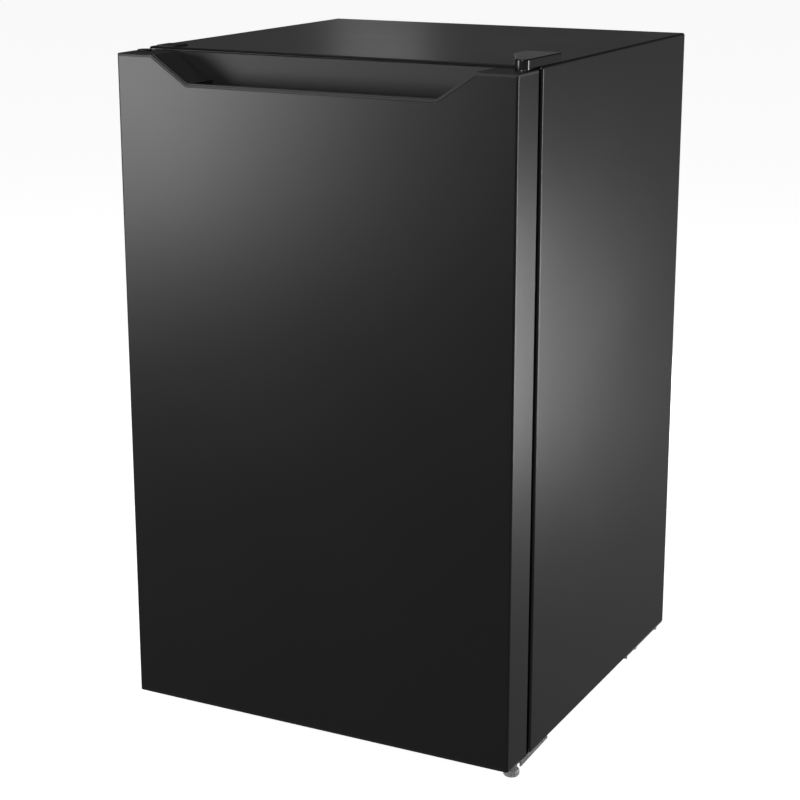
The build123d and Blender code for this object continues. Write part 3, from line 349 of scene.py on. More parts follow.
    def _brushed(self, name: str) -> bpy.types.NodeTree:
        """Long fine lines left on metal by rolling or drawing.

        Args:
            name: the group's name.

        Returns:
            A group with a Height and a Mask.
        """
        tree, given, result = self._start(
            name,
            {"Scale": 300.0, "Stretch": 0.02},
            {"Height": "NodeSocketFloat", "Mask": "NodeSocketFloat"},
        )
        along = tree.nodes.new("ShaderNodeCombineXYZ")
        along.inputs["Y"].default_value = 1.0
        along.inputs["Z"].default_value = 1.0
        scaled = tree.nodes.new("ShaderNodeVectorMath")
        scaled.operation = "MULTIPLY"
        noise = tree.nodes.new("ShaderNodeTexNoise")
        noise.inputs["Detail"].default_value = 4.0
        tree.links.new(given.outputs["Stretch"], along.inputs["X"])
        tree.links.new(self._place(tree), scaled.inputs[0])
        tree.links.new(along.outputs["Vector"], scaled.inputs[1])
        tree.links.new(scaled.outputs["Vector"], noise.inputs["Vector"])
        tree.links.new(given.outputs["Scale"], noise.inputs["Scale"])
        tree.links.new(noise.outputs["Fac"], result.inputs["Height"])
        tree.links.new(noise.outputs["Fac"], result.inputs["Mask"])
        return tree


EFFECTS = EffectGroups()


# ---------------------------------------------------------------- finishes


@dataclass(frozen=True)
class Finish:
    """A surface finish: colour, gloss and how both drift over the surface."""

    name: str
    colour: Colour
    roughness: float
    drift: float = 0.15
    drift_scale: float = 5.0
    spread: float = 0.06
    metallic: float = 0.0
    ior: float = 1.5
    dust: float = 0.0

    def material(self) -> bpy.types.Material:
        """Returns the finish's material, building it the first time."""
        found = bpy.data.materials.get(self.name)
        if found is not None:
            return found
        made = bpy.data.materials.new(self.name)
        made.use_nodes = True
        tree = made.node_tree
        surface = tree.nodes["Principled BSDF"]
        surface.inputs["Metallic"].default_value = self.metallic
        surface.inputs["IOR"].default_value = self.ior
        self._colour(tree, surface)
        self._relief(tree, surface)
        return made

    def _group(self, tree: bpy.types.NodeTree, name: GroupName, **values: object) -> bpy.types.Node:
        """Places a shared effect in a material.

        Args:
            tree: the material's nodes.
            name: the effect.
            values: the group's input values, by name.

        Returns:
            The placed group node.
        """
        node = tree.nodes.new("ShaderNodeGroup")
        node.node_tree = EFFECTS.get(name)
        for label, value in values.items():
            node.inputs[label].default_value = (*value, 1.0) if isinstance(value, tuple) else value
        return node

    def _colour(self, tree: bpy.types.NodeTree, surface: bpy.types.Node) -> None:
        """Feeds the drifting colour and gloss, and any dust, to the shader.

        Args:
            tree: the material's nodes.
            surface: its Principled shader.
        """
        tone = self._group(
            tree,
            GroupName.TONE,
            Colour=self.colour,
            Drift=self.drift,
            Scale=self.drift_scale,
            Roughness=self.roughness,
            Spread=self.spread,
        )
        tree.links.new(tone.outputs["Roughness"], surface.inputs["Roughness"])
        if self.dust:
            dust = self._group(tree, GroupName.DUST, Amount=self.dust)
            tree.links.new(tone.outputs["Colour"], dust.inputs["Colour"])
            tree.links.new(dust.outputs["Colour"], surface.inputs["Base Color"])
        else:
            tree.links.new(tone.outputs["Colour"], surface.inputs["Base Color"])

    def _relief(self, tree: bpy.types.NodeTree, surface: bpy.types.Node) -> None:
        """A plain finish has no relief of its own."""

    def _bump(
        self,
        tree: bpy.types.NodeTree,
        surface: bpy.types.Node,
        height: bpy.types.NodeSocket,
        strength: float,
        depth: float,
    ) -> None:
        """Turns a height into a bumped normal.

        Args:
            tree: the material's nodes.
            surface: its Principled shader.
            height: the socket with the height.
            strength: how much of the bump shows.
            depth: the height's size in metres.
        """
        bump = tree.nodes.new("ShaderNodeBump")
        bump.inputs["Strength"].default_value = strength
        bump.inputs["Distance"].default_value = depth
        tree.links.new(height, bump.inputs["Height"])
        tree.links.new(bump.outputs["Normal"], surface.inputs["Normal"])


@dataclass(frozen=True)
class SheetPaint(Finish):
    """Baked paint on sheet steel, with a low orange peel."""

    peel_scale: float = 420.0
    peel: float = 0.12

    def _relief(self, tree: bpy.types.NodeTree, surface: bpy.types.Node) -> None:
        """Adds the paint's ripple.

        Args:
            tree: the material's nodes.
            surface: its Principled shader.
        """
        ripple = self._group(tree, GroupName.PEEL, Scale=self.peel_scale)
        self._bump(tree, surface, ripple.outputs["Height"], self.peel, PEEL_DEPTH)


@dataclass(frozen=True)
class MouldedPlastic(Finish):
    """Injection-moulded plastic with the mould's fine grain."""

    grain_scale: float = 1400.0
    grain: float = 0.1
    subsurface: float = 0.0

    def _relief(self, tree: bpy.types.NodeTree, surface: bpy.types.Node) -> None:
        """Adds the mould's grain and, on pale plastic, a little depth.

        Args:
            tree: the material's nodes.
            surface: its Principled shader.
        """
        pebble = self._group(tree, GroupName.GRAIN, Scale=self.grain_scale)
        self._bump(tree, surface, pebble.outputs["Height"], self.grain, GRAIN_DEPTH)
        surface.inputs["Subsurface Weight"].default_value = self.subsurface
        surface.inputs["Subsurface Radius"].default_value = (0.002, 0.002, 0.002)


@dataclass(frozen=True)
class ClearMoulding(Finish):
    """See-through plastic or glass."""

    through: float = 0.9
    ripple: float = 0.03
    ripple_scale: float = 90.0

    def _relief(self, tree: bpy.types.NodeTree, surface: bpy.types.Node) -> None:
        """Lets light through and adds a faint ripple.

        Args:
            tree: the material's nodes.
            surface: its Principled shader.
        """
        surface.inputs["Transmission Weight"].default_value = self.through
        ripple = self._group(tree, GroupName.PEEL, Scale=self.ripple_scale, Fine=0.1)
        self._bump(tree, surface, ripple.outputs["Height"], self.ripple, RIPPLE_DEPTH)


@dataclass(frozen=True)
class PlatedSteel(Finish):
    """Zinc-plated steel with crystal patches."""

    dark: Colour = (0.5, 0.5, 0.52)
    patch_scale: float = 260.0
    lines_scale: float = 900.0
    lines: float = 0.08

    def _colour(self, tree: bpy.types.NodeTree, surface: bpy.types.Node) -> None:
        """Feeds the plating's patches to the shader.

        Args:
            tree: the material's nodes.
            surface: its Principled shader.
        """
        plate = self._group(
            tree,
            GroupName.SPANGLE,
            Light=self.colour,
            Dark=self.dark,
            Scale=self.patch_scale,
            Roughness=self.roughness,
        )
        tree.links.new(plate.outputs["Colour"], surface.inputs["Base Color"])
        tree.links.new(plate.outputs["Roughness"], surface.inputs["Roughness"])

    def _relief(self, tree: bpy.types.NodeTree, surface: bpy.types.Node) -> None:
        """Adds fine rolling marks.

        Args:
            tree: the material's nodes.
            surface: its Principled shader.
        """
        lines = self._group(tree, GroupName.BRUSHED, Scale=self.lines_scale, Stretch=0.05)
        self._bump(tree, surface, lines.outputs["Height"], self.lines, LINE_DEPTH)


@dataclass(frozen=True)
class DrawnMetal(Finish):
    """Bare drawn or rolled metal."""

    lines_scale: float = 700.0
    lines: float = 0.15

    def _relief(self, tree: bpy.types.NodeTree, surface: bpy.types.Node) -> None:
        """Adds the drawing lines.

        Args:
            tree: the material's nodes.
            surface: its Principled shader.
        """
        lines = self._group(tree, GroupName.BRUSHED, Scale=self.lines_scale, Stretch=0.04)
        self._bump(tree, surface, lines.outputs["Height"], self.lines, LINE_DEPTH)


CABINET_PAINT = SheetPaint("cabinet_black_paint", (0.006, 0.006, 0.0063), 0.29, dust=0.004)
DOOR_PAINT = SheetPaint("door_black_paint", (0.006, 0.006, 0.0063), 0.30, dust=0.004)
RAIL_PAINT = SheetPaint("grey_primer_steel", (0.05, 0.05, 0.052), 0.45, drift=0.3)
BLACK_TRIM = MouldedPlastic("black_trim_plastic", (0.012, 0.012, 0.012), 0.33, grain=0.05)
COVER_PLASTIC = MouldedPlastic("black_cover_plastic", (0.010, 0.010, 0.010), 0.18, grain=0.04)
BAY_PLASTIC = MouldedPlastic("bay_black_plastic", (0.02, 0.02, 0.02), 0.5, grain=0.2, dust=0.06)
LINER_PLASTIC = MouldedPlastic(
    "white_liner_plastic",
    (0.80, 0.81, 0.81),
    0.26,
    drift=0.03,
    grain=0.05,
    subsurface=0.02,
)
DIAL_PLASTIC = MouldedPlastic("dial_plastic", (0.74, 0.75, 0.75), 0.32, drift=0.03, grain=0.08)
RACK_PLASTIC = ClearMoulding("clear_rack_plastic", (0.90, 0.94, 0.95), 0.09, drift=0.03, ior=1.49)
SHELF_GLASS = ClearMoulding("shelf_glass", (0.86, 0.95, 0.92), 0.03, 0.02, through=1.0, ior=1.52)
FOAM_FILL = Finish("foam_fill", (0.72, 0.62, 0.36), 0.9, drift=0.3, drift_scale=60.0)
SEAL_RUBBER = MouldedPlastic("seal_rubber", (0.005, 0.005, 0.005), 0.62, grain=0.12)
BLACK_RUBBER = MouldedPlastic("black_rubber", (0.02, 0.02, 0.02), 0.68, grain=0.25, dust=0.05)
BUSH_PLASTIC = MouldedPlastic("bush_nylon", (0.70, 0.69, 0.64), 0.4, drift=0.05)
FOOT_PLASTIC = MouldedPlastic("foot_grey_plastic", (0.72, 0.72, 0.72), 0.42, grain=0.2)
LEAD_BROWN = MouldedPlastic("brown_lead_sleeve", (0.12, 0.045, 0.02), 0.4)
LEAD_BLUE = MouldedPlastic("blue_lead_sleeve", (0.02, 0.10, 0.36), 0.4)
LEAD_GREEN = MouldedPlastic("green_lead_sleeve", (0.10, 0.32, 0.04), 0.4)
DIAL_INK = MouldedPlastic("dial_ink", (0.03, 0.035, 0.04), 0.5)
SPARE_PLASTIC = MouldedPlastic("spare_cover_plastic", (0.010, 0.010, 0.010), 0.42, grain=0.1)
CAP_PLASTIC = MouldedPlastic("end_cap_plastic", (0.018, 0.018, 0.018), 0.46, grain=0.1)
ZINC = PlatedSteel("zinc_plate", (0.82, 0.83, 0.84), 0.24, metallic=1.0)
EVAPORATOR_METAL = DrawnMetal("evaporator_aluminium", (0.78, 0.79, 0.80), 0.38, metallic=1.0)
SHELL_ENAMEL = SheetPaint("compressor_enamel", (0.012, 0.012, 0.012), 0.2, peel=0.1, dust=0.12)
COPPER = DrawnMetal("copper_tube", (0.70, 0.36, 0.22), 0.34, drift=0.5, spread=0.25, metallic=1.0)
CONDENSER_PAINT = SheetPaint("condenser_paint", (0.03, 0.03, 0.03), 0.4)

SLOT_FINISH: dict[str, Finish] = {
    "cabinet_paint": CABINET_PAINT,
    "door_paint": DOOR_PAINT,
    "rail_paint": RAIL_PAINT,
    "black_plastic": BLACK_TRIM,
    "white_plastic": LINER_PLASTIC,
    "clear_plastic": RACK_PLASTIC,
    "shelf_glass": SHELF_GLASS,
    "foam": FOAM_FILL,
    "gasket_rubber": SEAL_RUBBER,
    "rubber": BLACK_RUBBER,
    "bushing_plastic": BUSH_PLASTIC,
    "foot_plastic": FOOT_PLASTIC,
    "zinc_steel": ZINC,
    "evaporator_aluminium": EVAPORATOR_METAL,
    "compressor_paint": SHELL_ENAMEL,
    "copper": COPPER,
    "condenser_steel": CONDENSER_PAINT,
}
NODE_FINISH: dict[str, Finish] = {
    "evaporation_pan": BAY_PLASTIC,
    "terminal_cover": BAY_PLASTIC,
    "cord_gland": BAY_PLASTIC,
    "upper_hinge_cover": COVER_PLASTIC,
    "spare_hinge_cover": SPARE_PLASTIC,
    "door_top_cap": CAP_PLASTIC,
    "thermostat_housing": DIAL_PLASTIC,
    "thermostat_knob": DIAL_PLASTIC,
}


# ---------------------------------------------------------------- studio


@dataclass
class Softbox:
    """A rectangular studio lamp that looks at a point."""

    name: str
    place: Triple
    target: Triple
    size: Pair
    power: float

    def build(self) -> bpy.types.Object:
        """Returns the lamp's object, linked into the scene."""
        light = bpy.data.lights.new(self.name, "AREA")
        light.shape = "RECTANGLE"
        light.size, light.size_y = self.size
        light.energy = self.power
        lamp = bpy.data.objects.new(self.name, light)
        lamp.location = self.place
        aim = Vector(self.target) - Vector(self.place)
        lamp.rotation_euler = aim.to_track_quat("-Z", "Y").to_euler()
        lamp.visible_camera = False
        bpy.context.scene.collection.objects.link(lamp)
        return lamp


@dataclass
class Studio:
    """Camera, floor, backdrop light and lamps."""

    camera_place: Triple = (1.0758, -2.1319, 1.0476)
    camera_turn: float = 27.2
    camera_dip: float = 15.06
    lens: float = 86.48
    shift: float = -0.03
    backdrop: float = 1.0
    ambient_low: float = 0.185
    ambient_high: float = 0.02
    fade_low: float = -0.1
    fade_high: float = 0.42
    floor_size: float = 30.0
    floor_shade: float = 0.86
    floor_glow: float = 0.92
    lamps: tuple[Softbox, ...] = (
        Softbox("left_lamp", (-1.74, -2.2, 0.70), (-0.26, -0.26, 0.8), (0.9, 1.0), 21.0),
        Softbox("right_low_lamp", (1.35, 1.22, 0.12), (0.26, 0.0, 0.45), (0.35, 0.5), 8.2),
        Softbox("edge_lamp", (2.03, 0.66, 0.62), (0.26, -0.25, 0.8), (0.5, 0.5), 10.0),
        Softbox("over_lamp", (-0.2, 0.1, 3.0), (0.0, 0.0, 0.4), (2.4, 2.4), 9.0),
        Softbox("rear_lamp", (-1.35, 2.47, 1.4), (0.0, -0.1, 0.83), (0.24, 0.12), 0.15),
        Softbox("front_fill", (0.7, -3.0, 2.3), (0.0, -0.1, 0.4), (1.0, 1.0), 42.0),
        Softbox("bay_fill", (-0.4, 1.7, 0.35), (0.0, 0.2, 0.2), (0.6, 0.3), 7.0),
    )

    def build(self) -> None:
        """Sets up everything that isn't part of the object."""
        self._camera()
        self._floor()
        self._world()
        for lamp in self.lamps:
            lamp.build()
        view = bpy.context.scene.view_settings
        view.view_transform = "Standard"
        view.look = "None"
        LOG.info("studio: %d lamps", len(self.lamps))

    def _camera(self) -> None:
        """Places the camera."""
        data = bpy.data.cameras.new("studio_camera")
        data.lens = self.lens
        data.sensor_width = 36.0
        data.shift_y = self.shift
        data.clip_end = 60.0
        camera = bpy.data.objects.new("studio_camera", data)
        camera.location = self.camera_place
        camera.rotation_euler = (
            math.radians(90.0 - self.camera_dip),
            0.0,
            math.radians(self.camera_turn),
        )
        bpy.context.scene.collection.objects.link(camera)
        bpy.context.scene.camera = camera

    def _floor(self) -> None:
        """Lays a plain pale floor that the object's gloss doesn't pick up."""
        half = self.floor_size / 2
        mesh = bpy.data.meshes.new("floor")
        corners = [(-half, -half, 0), (half, -half, 0), (half, half, 0), (-half, half, 0)]
        mesh.from_pydata(corners, [], [(0, 1, 2, 3)])
        floor = bpy.data.objects.new("floor", mesh)
        bpy.context.scene.collection.objects.link(floor)
        made = bpy.data.materials.new("floor_paper")
        made.use_nodes = True
        surface = made.node_tree.nodes["Principled BSDF"]
        surface.inputs["Base Color"].default_value = (*[self.floor_shade] * 3, 1.0)
        surface.inputs["Roughness"].default_value = 0.9
        surface.inputs["Specular IOR Level"].default_value = 0.0
        surface.inputs["Emission Color"].default_value = WHITE
        surface.inputs["Emission Strength"].default_value = self.floor_glow
        mesh.materials.append(made)
        floor.visible_glossy = False
        floor.visible_diffuse = False
        floor.visible_shadow = False

    def _world(self) -> None:
        """Makes a white backdrop whose light on the object is dim and even."""
        world = bpy.data.worlds.new("backdrop")
        world.use_nodes = True
        tree = world.node_tree
        tree.nodes.clear()
        seen = tree.nodes.new("ShaderNodeBackground")
        seen.inputs["Strength"].default_value = self.backdrop
        seen.inputs["Color"].default_value = WHITE
        lit = tree.nodes.new("ShaderNodeBackground")
        place = tree.nodes.new("ShaderNodeTexCoord")
        height = tree.nodes.new("ShaderNodeSeparateXYZ")
        fade = tree.nodes.new("ShaderNodeMapRange")
        fade.interpolation_type = "SMOOTHSTEP"
        fade.inputs["From Min"].default_value = self.fade_low
        fade.inputs["From Max"].default_value = self.fade_high
        fade.inputs["To Min"].default_value = self.ambient_low
        fade.inputs["To Max"].default_value = self.ambient_high
        tree.links.new(place.outputs["Generated"], height.inputs["Vector"])
        tree.links.new(height.outputs["Z"], fade.inputs["Value"])
        tree.links.new(fade.outputs["Result"], lit.inputs["Strength"])
        lit.inputs["Color"].default_value = WHITE
        path = tree.nodes.new("ShaderNodeLightPath")
        mix = tree.nodes.new("ShaderNodeMixShader")
        out = tree.nodes.new("ShaderNodeOutputWorld")
        tree.links.new(path.outputs["Is Camera Ray"], mix.inputs["Fac"])
        tree.links.new(lit.outputs["Background"], mix.inputs[1])
        tree.links.new(seen.outputs["Background"], mix.inputs[2])
        tree.links.new(mix.outputs["Shader"], out.inputs["Surface"])
        bpy.context.scene.world = world


# ---------------------------------------------------------------- carried-over pieces


@dataclass
class FrameDress:
    """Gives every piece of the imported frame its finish."""

    frame: dict

    def build(self) -> None:
        """Puts each piece's material in its slots."""
        slots = {row["node"]: row["material_slot"] for row in self.frame["record"]["subparts"]}
        for name, piece in self.frame["nodes"].items():
            finish = NODE_FINISH.get(name, SLOT_FINISH[slots[name]])
            for slot in piece.material_slots:
                slot.material = finish.material()
        LOG.info("dressed %d frame pieces", len(self.frame["nodes"]))


# ---------------------------------------------------------------- mesh shop


def middle_of(node: str) -> Vector:
    """Returns the middle of a frame node's box."""
    low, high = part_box(node)
    return (low + high) / 2


@dataclass
class MeshShop:
    """Turns outlines and routes into mesh pieces and hangs them on the frame's bodies."""

    sharp_angle: float = math.radians(38.0)

    def hang(
        self,
        name: str,
        shape: bmesh.types.BMesh,
        finish: Finish,
        body: str,
        slot: str,
        replaced: tuple[str, ...] = (),
    ) -> bpy.types.Object:
        """Makes a piece from a shape and says what it rides on.

        Args:
            name: the piece's name.
            shape: its mesh in the making, which is used up.
            finish: its finish.
            body: the body it moves with.
            slot: the record's material slot that its finish matches; not used.
            replaced: CAD nodes it stands for.

        Returns:
            The piece's object.
        """
        bmesh.ops.remove_doubles(shape, verts=shape.verts, dist=1e-7)
        bmesh.ops.recalc_face_normals(shape, faces=shape.faces)
        mesh = bpy.data.meshes.new(name)
        shape.to_mesh(mesh)
        shape.free()
        mesh.polygons.foreach_set("use_smooth", [True] * len(mesh.polygons))
        mesh.set_sharp_from_angle(angle=self.sharp_angle)
        mesh.materials.append(finish.material())
        piece = bpy.data.objects.new(name, mesh)
        bpy.context.scene.collection.objects.link(piece)
        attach(piece, body)
        if replaced:
            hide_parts(*replaced)
        LOG.info("%s: %d faces on %s", name, len(mesh.polygons), body)
        return piece

    @staticmethod
    def loft(shape: bmesh.types.BMesh, rings: list[list[Vector]], closed: bool = False) -> None:
        """Skins a row of rings, each with the same number of points.

        Args:
            shape: the mesh in the making.
            rings: the rings in order.
            closed: whether the last ring joins the first instead of both being capped.
        """
        made = [[shape.verts.new(point) for point in ring] for ring in rings]
        count = len(rings[0])
        pairs = list(zip(made, made[1:]))
        if closed:
            pairs.append((made[-1], made[0]))
        for first, second in pairs:
            for i in range(count):
                j = (i + 1) % count
                shape.faces.new((first[i], first[j], second[j], second[i]))
        if not closed:
            shape.faces.new(made[0])
            shape.faces.new(made[-1])

    def lathe(
        self,
        shape: bmesh.types.BMesh,
        foot: Vector,
        axis: Vector,
        profile: list[Pair],
        sides: int = 40,
    ) -> None:
        """Turns a profile of (radius, height) pairs about an axis.

        Args:
            shape: the mesh in the making.
            foot: the point on the axis at height 0.
            axis: the axis's direction.
            profile: radii and heights from one end to the other.
            sides: points round each ring.
        """
        along = axis.normalized()
        across = along.orthogonal().normalized()
        other = along.cross(across)
        rings = []
        for radius, height in profile:
            centre = foot + along * height
            rings.append(
                [
                    centre
                    + across * (radius * math.cos(math.tau * i / sides))
                    + other * (radius * math.sin(math.tau * i / sides))
                    for i in range(sides)
                ]
            )
        self.loft(shape, rings)

    @staticmethod
    def eased(points: list[Vector], steps: int = 8) -> list[Vector]:
        """Returns a smooth open route through points.

        Args:
            points: the places it passes.
            steps: points laid between each two places.

        Returns:
            The points of the route.
        """
        ends = [2 * points[0] - points[1], *points, 2 * points[-1] - points[-2]]
        route = []
        for a, b, c, d in zip(ends, ends[1:], ends[2:], ends[3:]):
            for i in range(steps):
                t = i / steps
                route.append(
                    0.5
                    * (
                        2 * b
                        + (c - a) * t
                        + (2 * a - 5 * b + 4 * c - d) * t**2
                        + (3 * b - a - 3 * c + d) * t**3
                    )
                )
        return [*route, points[-1]]

    def tube(
        self,
        shape: bmesh.types.BMesh,
        route: list[Vector],
        radius: float,
        sides: int = 12,
        closed: bool = False,
    ) -> None:
        """Lays a round tube along a route.

        Args:
            shape: the mesh in the making.
            route: the points of its middle line.
            radius: the tube's radius.
            sides: points round each ring.
            closed: whether the route's end joins its start.
        """
        count = len(route)
        rings = []
        across = None
        for i, point in enumerate(route):
            before = route[i - 1] if closed or i else point
            after = route[(i + 1) % count] if closed or i < count - 1 else point
            along = (after - before).normalized()
            if across is None:
                across = along.orthogonal().normalized()
            across = (across - along * across.dot(along)).normalized()
            other = along.cross(across)
            rings.append(
                [
                    point
                    + across * (radius * math.cos(math.tau * k / sides))
                    + other * (radius * math.sin(math.tau * k / sides))
                    for k in range(sides)
                ]
            )
        self.loft(shape, rings, closed)

    @staticmethod
    def block(shape: bmesh.types.BMesh, low: Vector, high: Vector, edge: float) -> None:
        """Adds a block with softened edges.

        Args:
            shape: the mesh in the making.
            low: its lowest corner.
            high: its highest corner.
            edge: the width of its bevelled edges.
        """
        size = high - low
        placed = Matrix.Translation((low + high) / 2) @ Matrix.Diagonal((*size, 1.0))
        made = bmesh.ops.create_cube(shape, size=1.0, matrix=placed)
        edges = {e for v in made["verts"] for e in v.link_edges}
        bmesh.ops.bevel(
            shape, geom=list(edges), offset=edge, segments=3, profile=0.5, affect="EDGES"
        )

    @staticmethod
    def crossed_head(
        shape: bmesh.types.BMesh,
        centre: Vector,
        axis: Vector,
        radius: float = 3.6 * MM,
        height: float = 1.15 * MM,
    ) -> None:
        """Adds a low domed screw head with a cross recess.

        Args:
            shape: the mesh in the making.
            centre: the middle of its seat.
            axis: the way it faces.
            radius: the head's radius.
            height: the head's height.
        """
        along = axis.normalized()
        across = Vector((0.0, 0.0, 1.0)) if abs(along.z) < 0.9 else Vector((1.0, 0.0, 0.0))
        other = along.cross(across)
        steps, sides = 12, 64
        arm, reach, sink = 0.14 * radius, 0.55 * radius, 0.75 * height

        def level(out: float, a: float, b: float) -> float:
            """Gives the head's height at a place on it.

            Args:
                out: how far the place is from the head's middle.
                a: how far it is along one arm of the cross.
                b: how far it is along the other arm.

            Returns:
                The height above the seat.
            """
            dome = height * (1.0 - 0.55 * (out / radius) ** 4)
            in_arm = min(abs(a), abs(b)) < arm and out < reach
            return dome - sink if in_arm else dome

        top = shape.verts.new(centre + along * level(0.0, 0.0, 0.0))
        rings = []
        for step in range(1, steps + 1):
            out = radius * step / steps
            ring = []
            for i in range(sides):
                a = out * math.cos(math.tau * i / sides)
                b = out * math.sin(math.tau * i / sides)
                ring.append(
                    shape.verts.new(centre + across * a + other * b + along * level(out, a, b))
                )
            rings.append(ring)
        seat = [
            shape.verts.new(
                centre
                + across * (radius * math.cos(math.tau * i / sides))
                + other * (radius * math.sin(math.tau * i / sides))
            )
            for i in range(sides)
        ]
        rings.append(seat)
        for i in range(sides):
            shape.faces.new((top, rings[0][i], rings[0][(i + 1) % sides]))
        for first, second in zip(rings, rings[1:]):
            for i in range(sides):
                j = (i + 1) % sides
                shape.faces.new((first[i], first[j], second[j], second[i]))
        shape.faces.new(seat)


# ---------------------------------------------------------------- door


@dataclass
class DoorSeal:
    """The door's soft seal: a bellows with a magnet pocket along its face."""

    shop: MeshShop
    width: float = 16.0 * MM
    outline: tuple[Pair, ...] = (
        (-0.62, 0.0),
        (0.62, 0.0),
        (0.60, 0.12),
        (0.86, 0.24),
        (0.98, 0.33),
        (0.90, 0.42),
        (0.66, 0.52),
        (0.66, 0.58),
        (0.97, 0.64),
        (1.0, 0.72),
        (1.0, 0.90),
        (0.94, 0.98),
        (0.30, 1.0),
        (0.24, 0.95),
        (-0.24, 0.95),
        (-0.30, 1.0),
        (-0.94, 0.98),
        (-1.0, 0.90),
        (-1.0, 0.72),
        (-0.97, 0.64),
        (-0.66, 0.58),
        (-0.66, 0.52),
        (-0.90, 0.42),
        (-0.98, 0.33),
        (-0.86, 0.24),
        (-0.60, 0.12),
    )

    def build(self) -> None:
        """Runs the bellows round the door, mitred at its corners."""
        low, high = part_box("door_gasket")
        middle = (low + high) / 2
        half = self.width / 2
        run_x, run_z = (high.x - low.x) / 2 - half, (high.z - low.z) / 2 - half
        shape = bmesh.new()
        rings = []
        for sx, sz in ((-1, -1), (1, -1), (1, 1), (-1, 1)):
            rings.append(
                [
                    Vector(
                        (
                            middle.x + sx * (run_x + u * half),
                            low.y + v * (high.y - low.y),
                            middle.z + sz * (run_z + u * half),
                        )
                    )
                    for u, v in self.outline
                ]
            )
        self.shop.loft(shape, rings, closed=True)
        self.shop.hang(
            "bellows_seal", shape, SEAL_RUBBER, "door", "gasket_rubber", ("door_gasket",)
        )


# ---------------------------------------------------------------- feet


@dataclass
class GrippedFeet:
    """Levelling feet with finger grips and a threaded stud.

    Each level is a height in mm, a share of the foot's radius and a share of the grips' depth.
    """

    shop: MeshShop
    grips: int = 20
    grip_depth: float = 0.7 * MM
    foot_height: float = 8.0 * MM
    stud_radius: float = 3.0 * MM
    pitch: float = 1.25 * MM
    thread_depth: float = 0.45 * MM
    stud_sink: float = 0.5 * MM
    levels: tuple[Triple, ...] = (
        (0.0, 0.84, 0.0),
        (0.5, 0.90, 0.0),
        (1.1, 0.93, 0.0),
        (1.3, 0.96, 0.6),
        (1.9, 1.0, 1.0),
        (6.4, 1.0, 1.0),
        (7.2, 0.97, 0.7),
        (8.0, 0.88, 0.0),
    )

    def build(self) -> None:
        """Makes both feet."""
        for side in ("left", "right"):
            low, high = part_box(f"levelling_foot_{side}")
            centre = Vector(((low.x + high.x) / 2, (low.y + high.y) / 2, low.z))
            radius = (high.x - low.x) / 2
            shape = bmesh.new()
            self._knob(shape, centre, radius)
            self._stud(shape, centre, high.z)
            self.shop.hang(
                f"gripped_foot_{side}",
                shape,
                FOOT_PLASTIC,
                f"foot_{side}",
                "foot_plastic",
                (f"levelling_foot_{side}",),
            )

    def _knob(self, shape: bmesh.types.BMesh, centre: Vector, radius: float) -> None:
        """Adds the round foot with its grips.

        Args:
            shape: the mesh in the making.
            centre: the middle of its sole.
            radius: its radius over the grips.
        """
        sides = self.grips * 8
        rings = []
        for height, part, wave in self.levels:
            ring = []
            for i in range(sides):
                turn = math.tau * i / sides
                dent = 0.5 - 0.5 * math.cos(turn * self.grips)
                out = radius * part - self.grip_depth * wave * dent**2
                ring.append(
                    centre + Vector((out * math.cos(turn), out * math.sin(turn), height * MM))
                )
            rings.append(ring)
        self.shop.loft(shape, rings)

    def _stud(self, shape: bmesh.types.BMesh, centre: Vector, top: float) -> None:
        """Adds the stud with its thread ridges.

        Args:
            shape: the mesh in the making.
            centre: the middle of the foot's sole.
            top: the height of the stud's end.
        """
        root = self.stud_radius - self.thread_depth
        profile = [(self.stud_radius, self.foot_height - self.stud_sink)]
        height = self.foot_height
        while height + self.pitch < top - centre.z:
            profile.append((root, height + 0.2 * self.pitch))
            profile.append((self.stud_radius, height + 0.7 * self.pitch))
            height += self.pitch
        profile.append((root, top - centre.z))
        self.shop.lathe(shape, centre, Vector((0, 0, 1)), profile, 24)


# ---------------------------------------------------------------- rear panel


@dataclass
class RearFixings:
    """Screws that hold the rear panel and the service points in the bay."""

    shop: MeshShop
    edge: float = 17.0 * MM
    sill: float = 7.0 * MM
    side_rows: int = 5
    top_columns: int = 3
    sill_columns: int = 4
    lowest_row: float = 22.0 * MM
    rows_short: float = 60.0 * MM
    earth_head: Pair = (4.4 * MM, 0.9 * MM)

    def build(self) -> None:
        """Sets the panel's screws and the earth screw's recess."""
        low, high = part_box("rear_panel")
        rear = Vector((0, 1, 0))
        shape = bmesh.new()
        for row in range(self.side_rows):
            span = high.z - low.z - self.rows_short
            z = low.z + self.lowest_row + row * span / (self.side_rows - 1)
            for x in (low.x + self.edge, high.x - self.edge):
                self.shop.crossed_head(shape, Vector((x, high.y, z)), rear)
        for column in range(self.top_columns):
            x = low.x + (column + 1) * (high.x - low.x) / (self.top_columns + 1)
            self.shop.crossed_head(shape, Vector((x, high.y, high.z - self.edge)), rear)
        for column in range(self.sill_columns):
            x = low.x + (column + 0.5) * (high.x - low.x) / self.sill_columns
            self.shop.crossed_head(shape, Vector((x, high.y, low.z + self.sill)), rear)
        self.shop.hang("panel_screws", shape, ZINC, "cabinet", "zinc_steel")
        seat = middle_of("earth_screw")
        seat.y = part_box("earth_screw")[1].y
        shape = bmesh.new()
        self.shop.crossed_head(shape, seat, rear, *self.earth_head)
        self.shop.hang("earth_screw_recess", shape, ZINC, "cabinet", "zinc_steel")


# ---------------------------------------------------------------- compressor bay


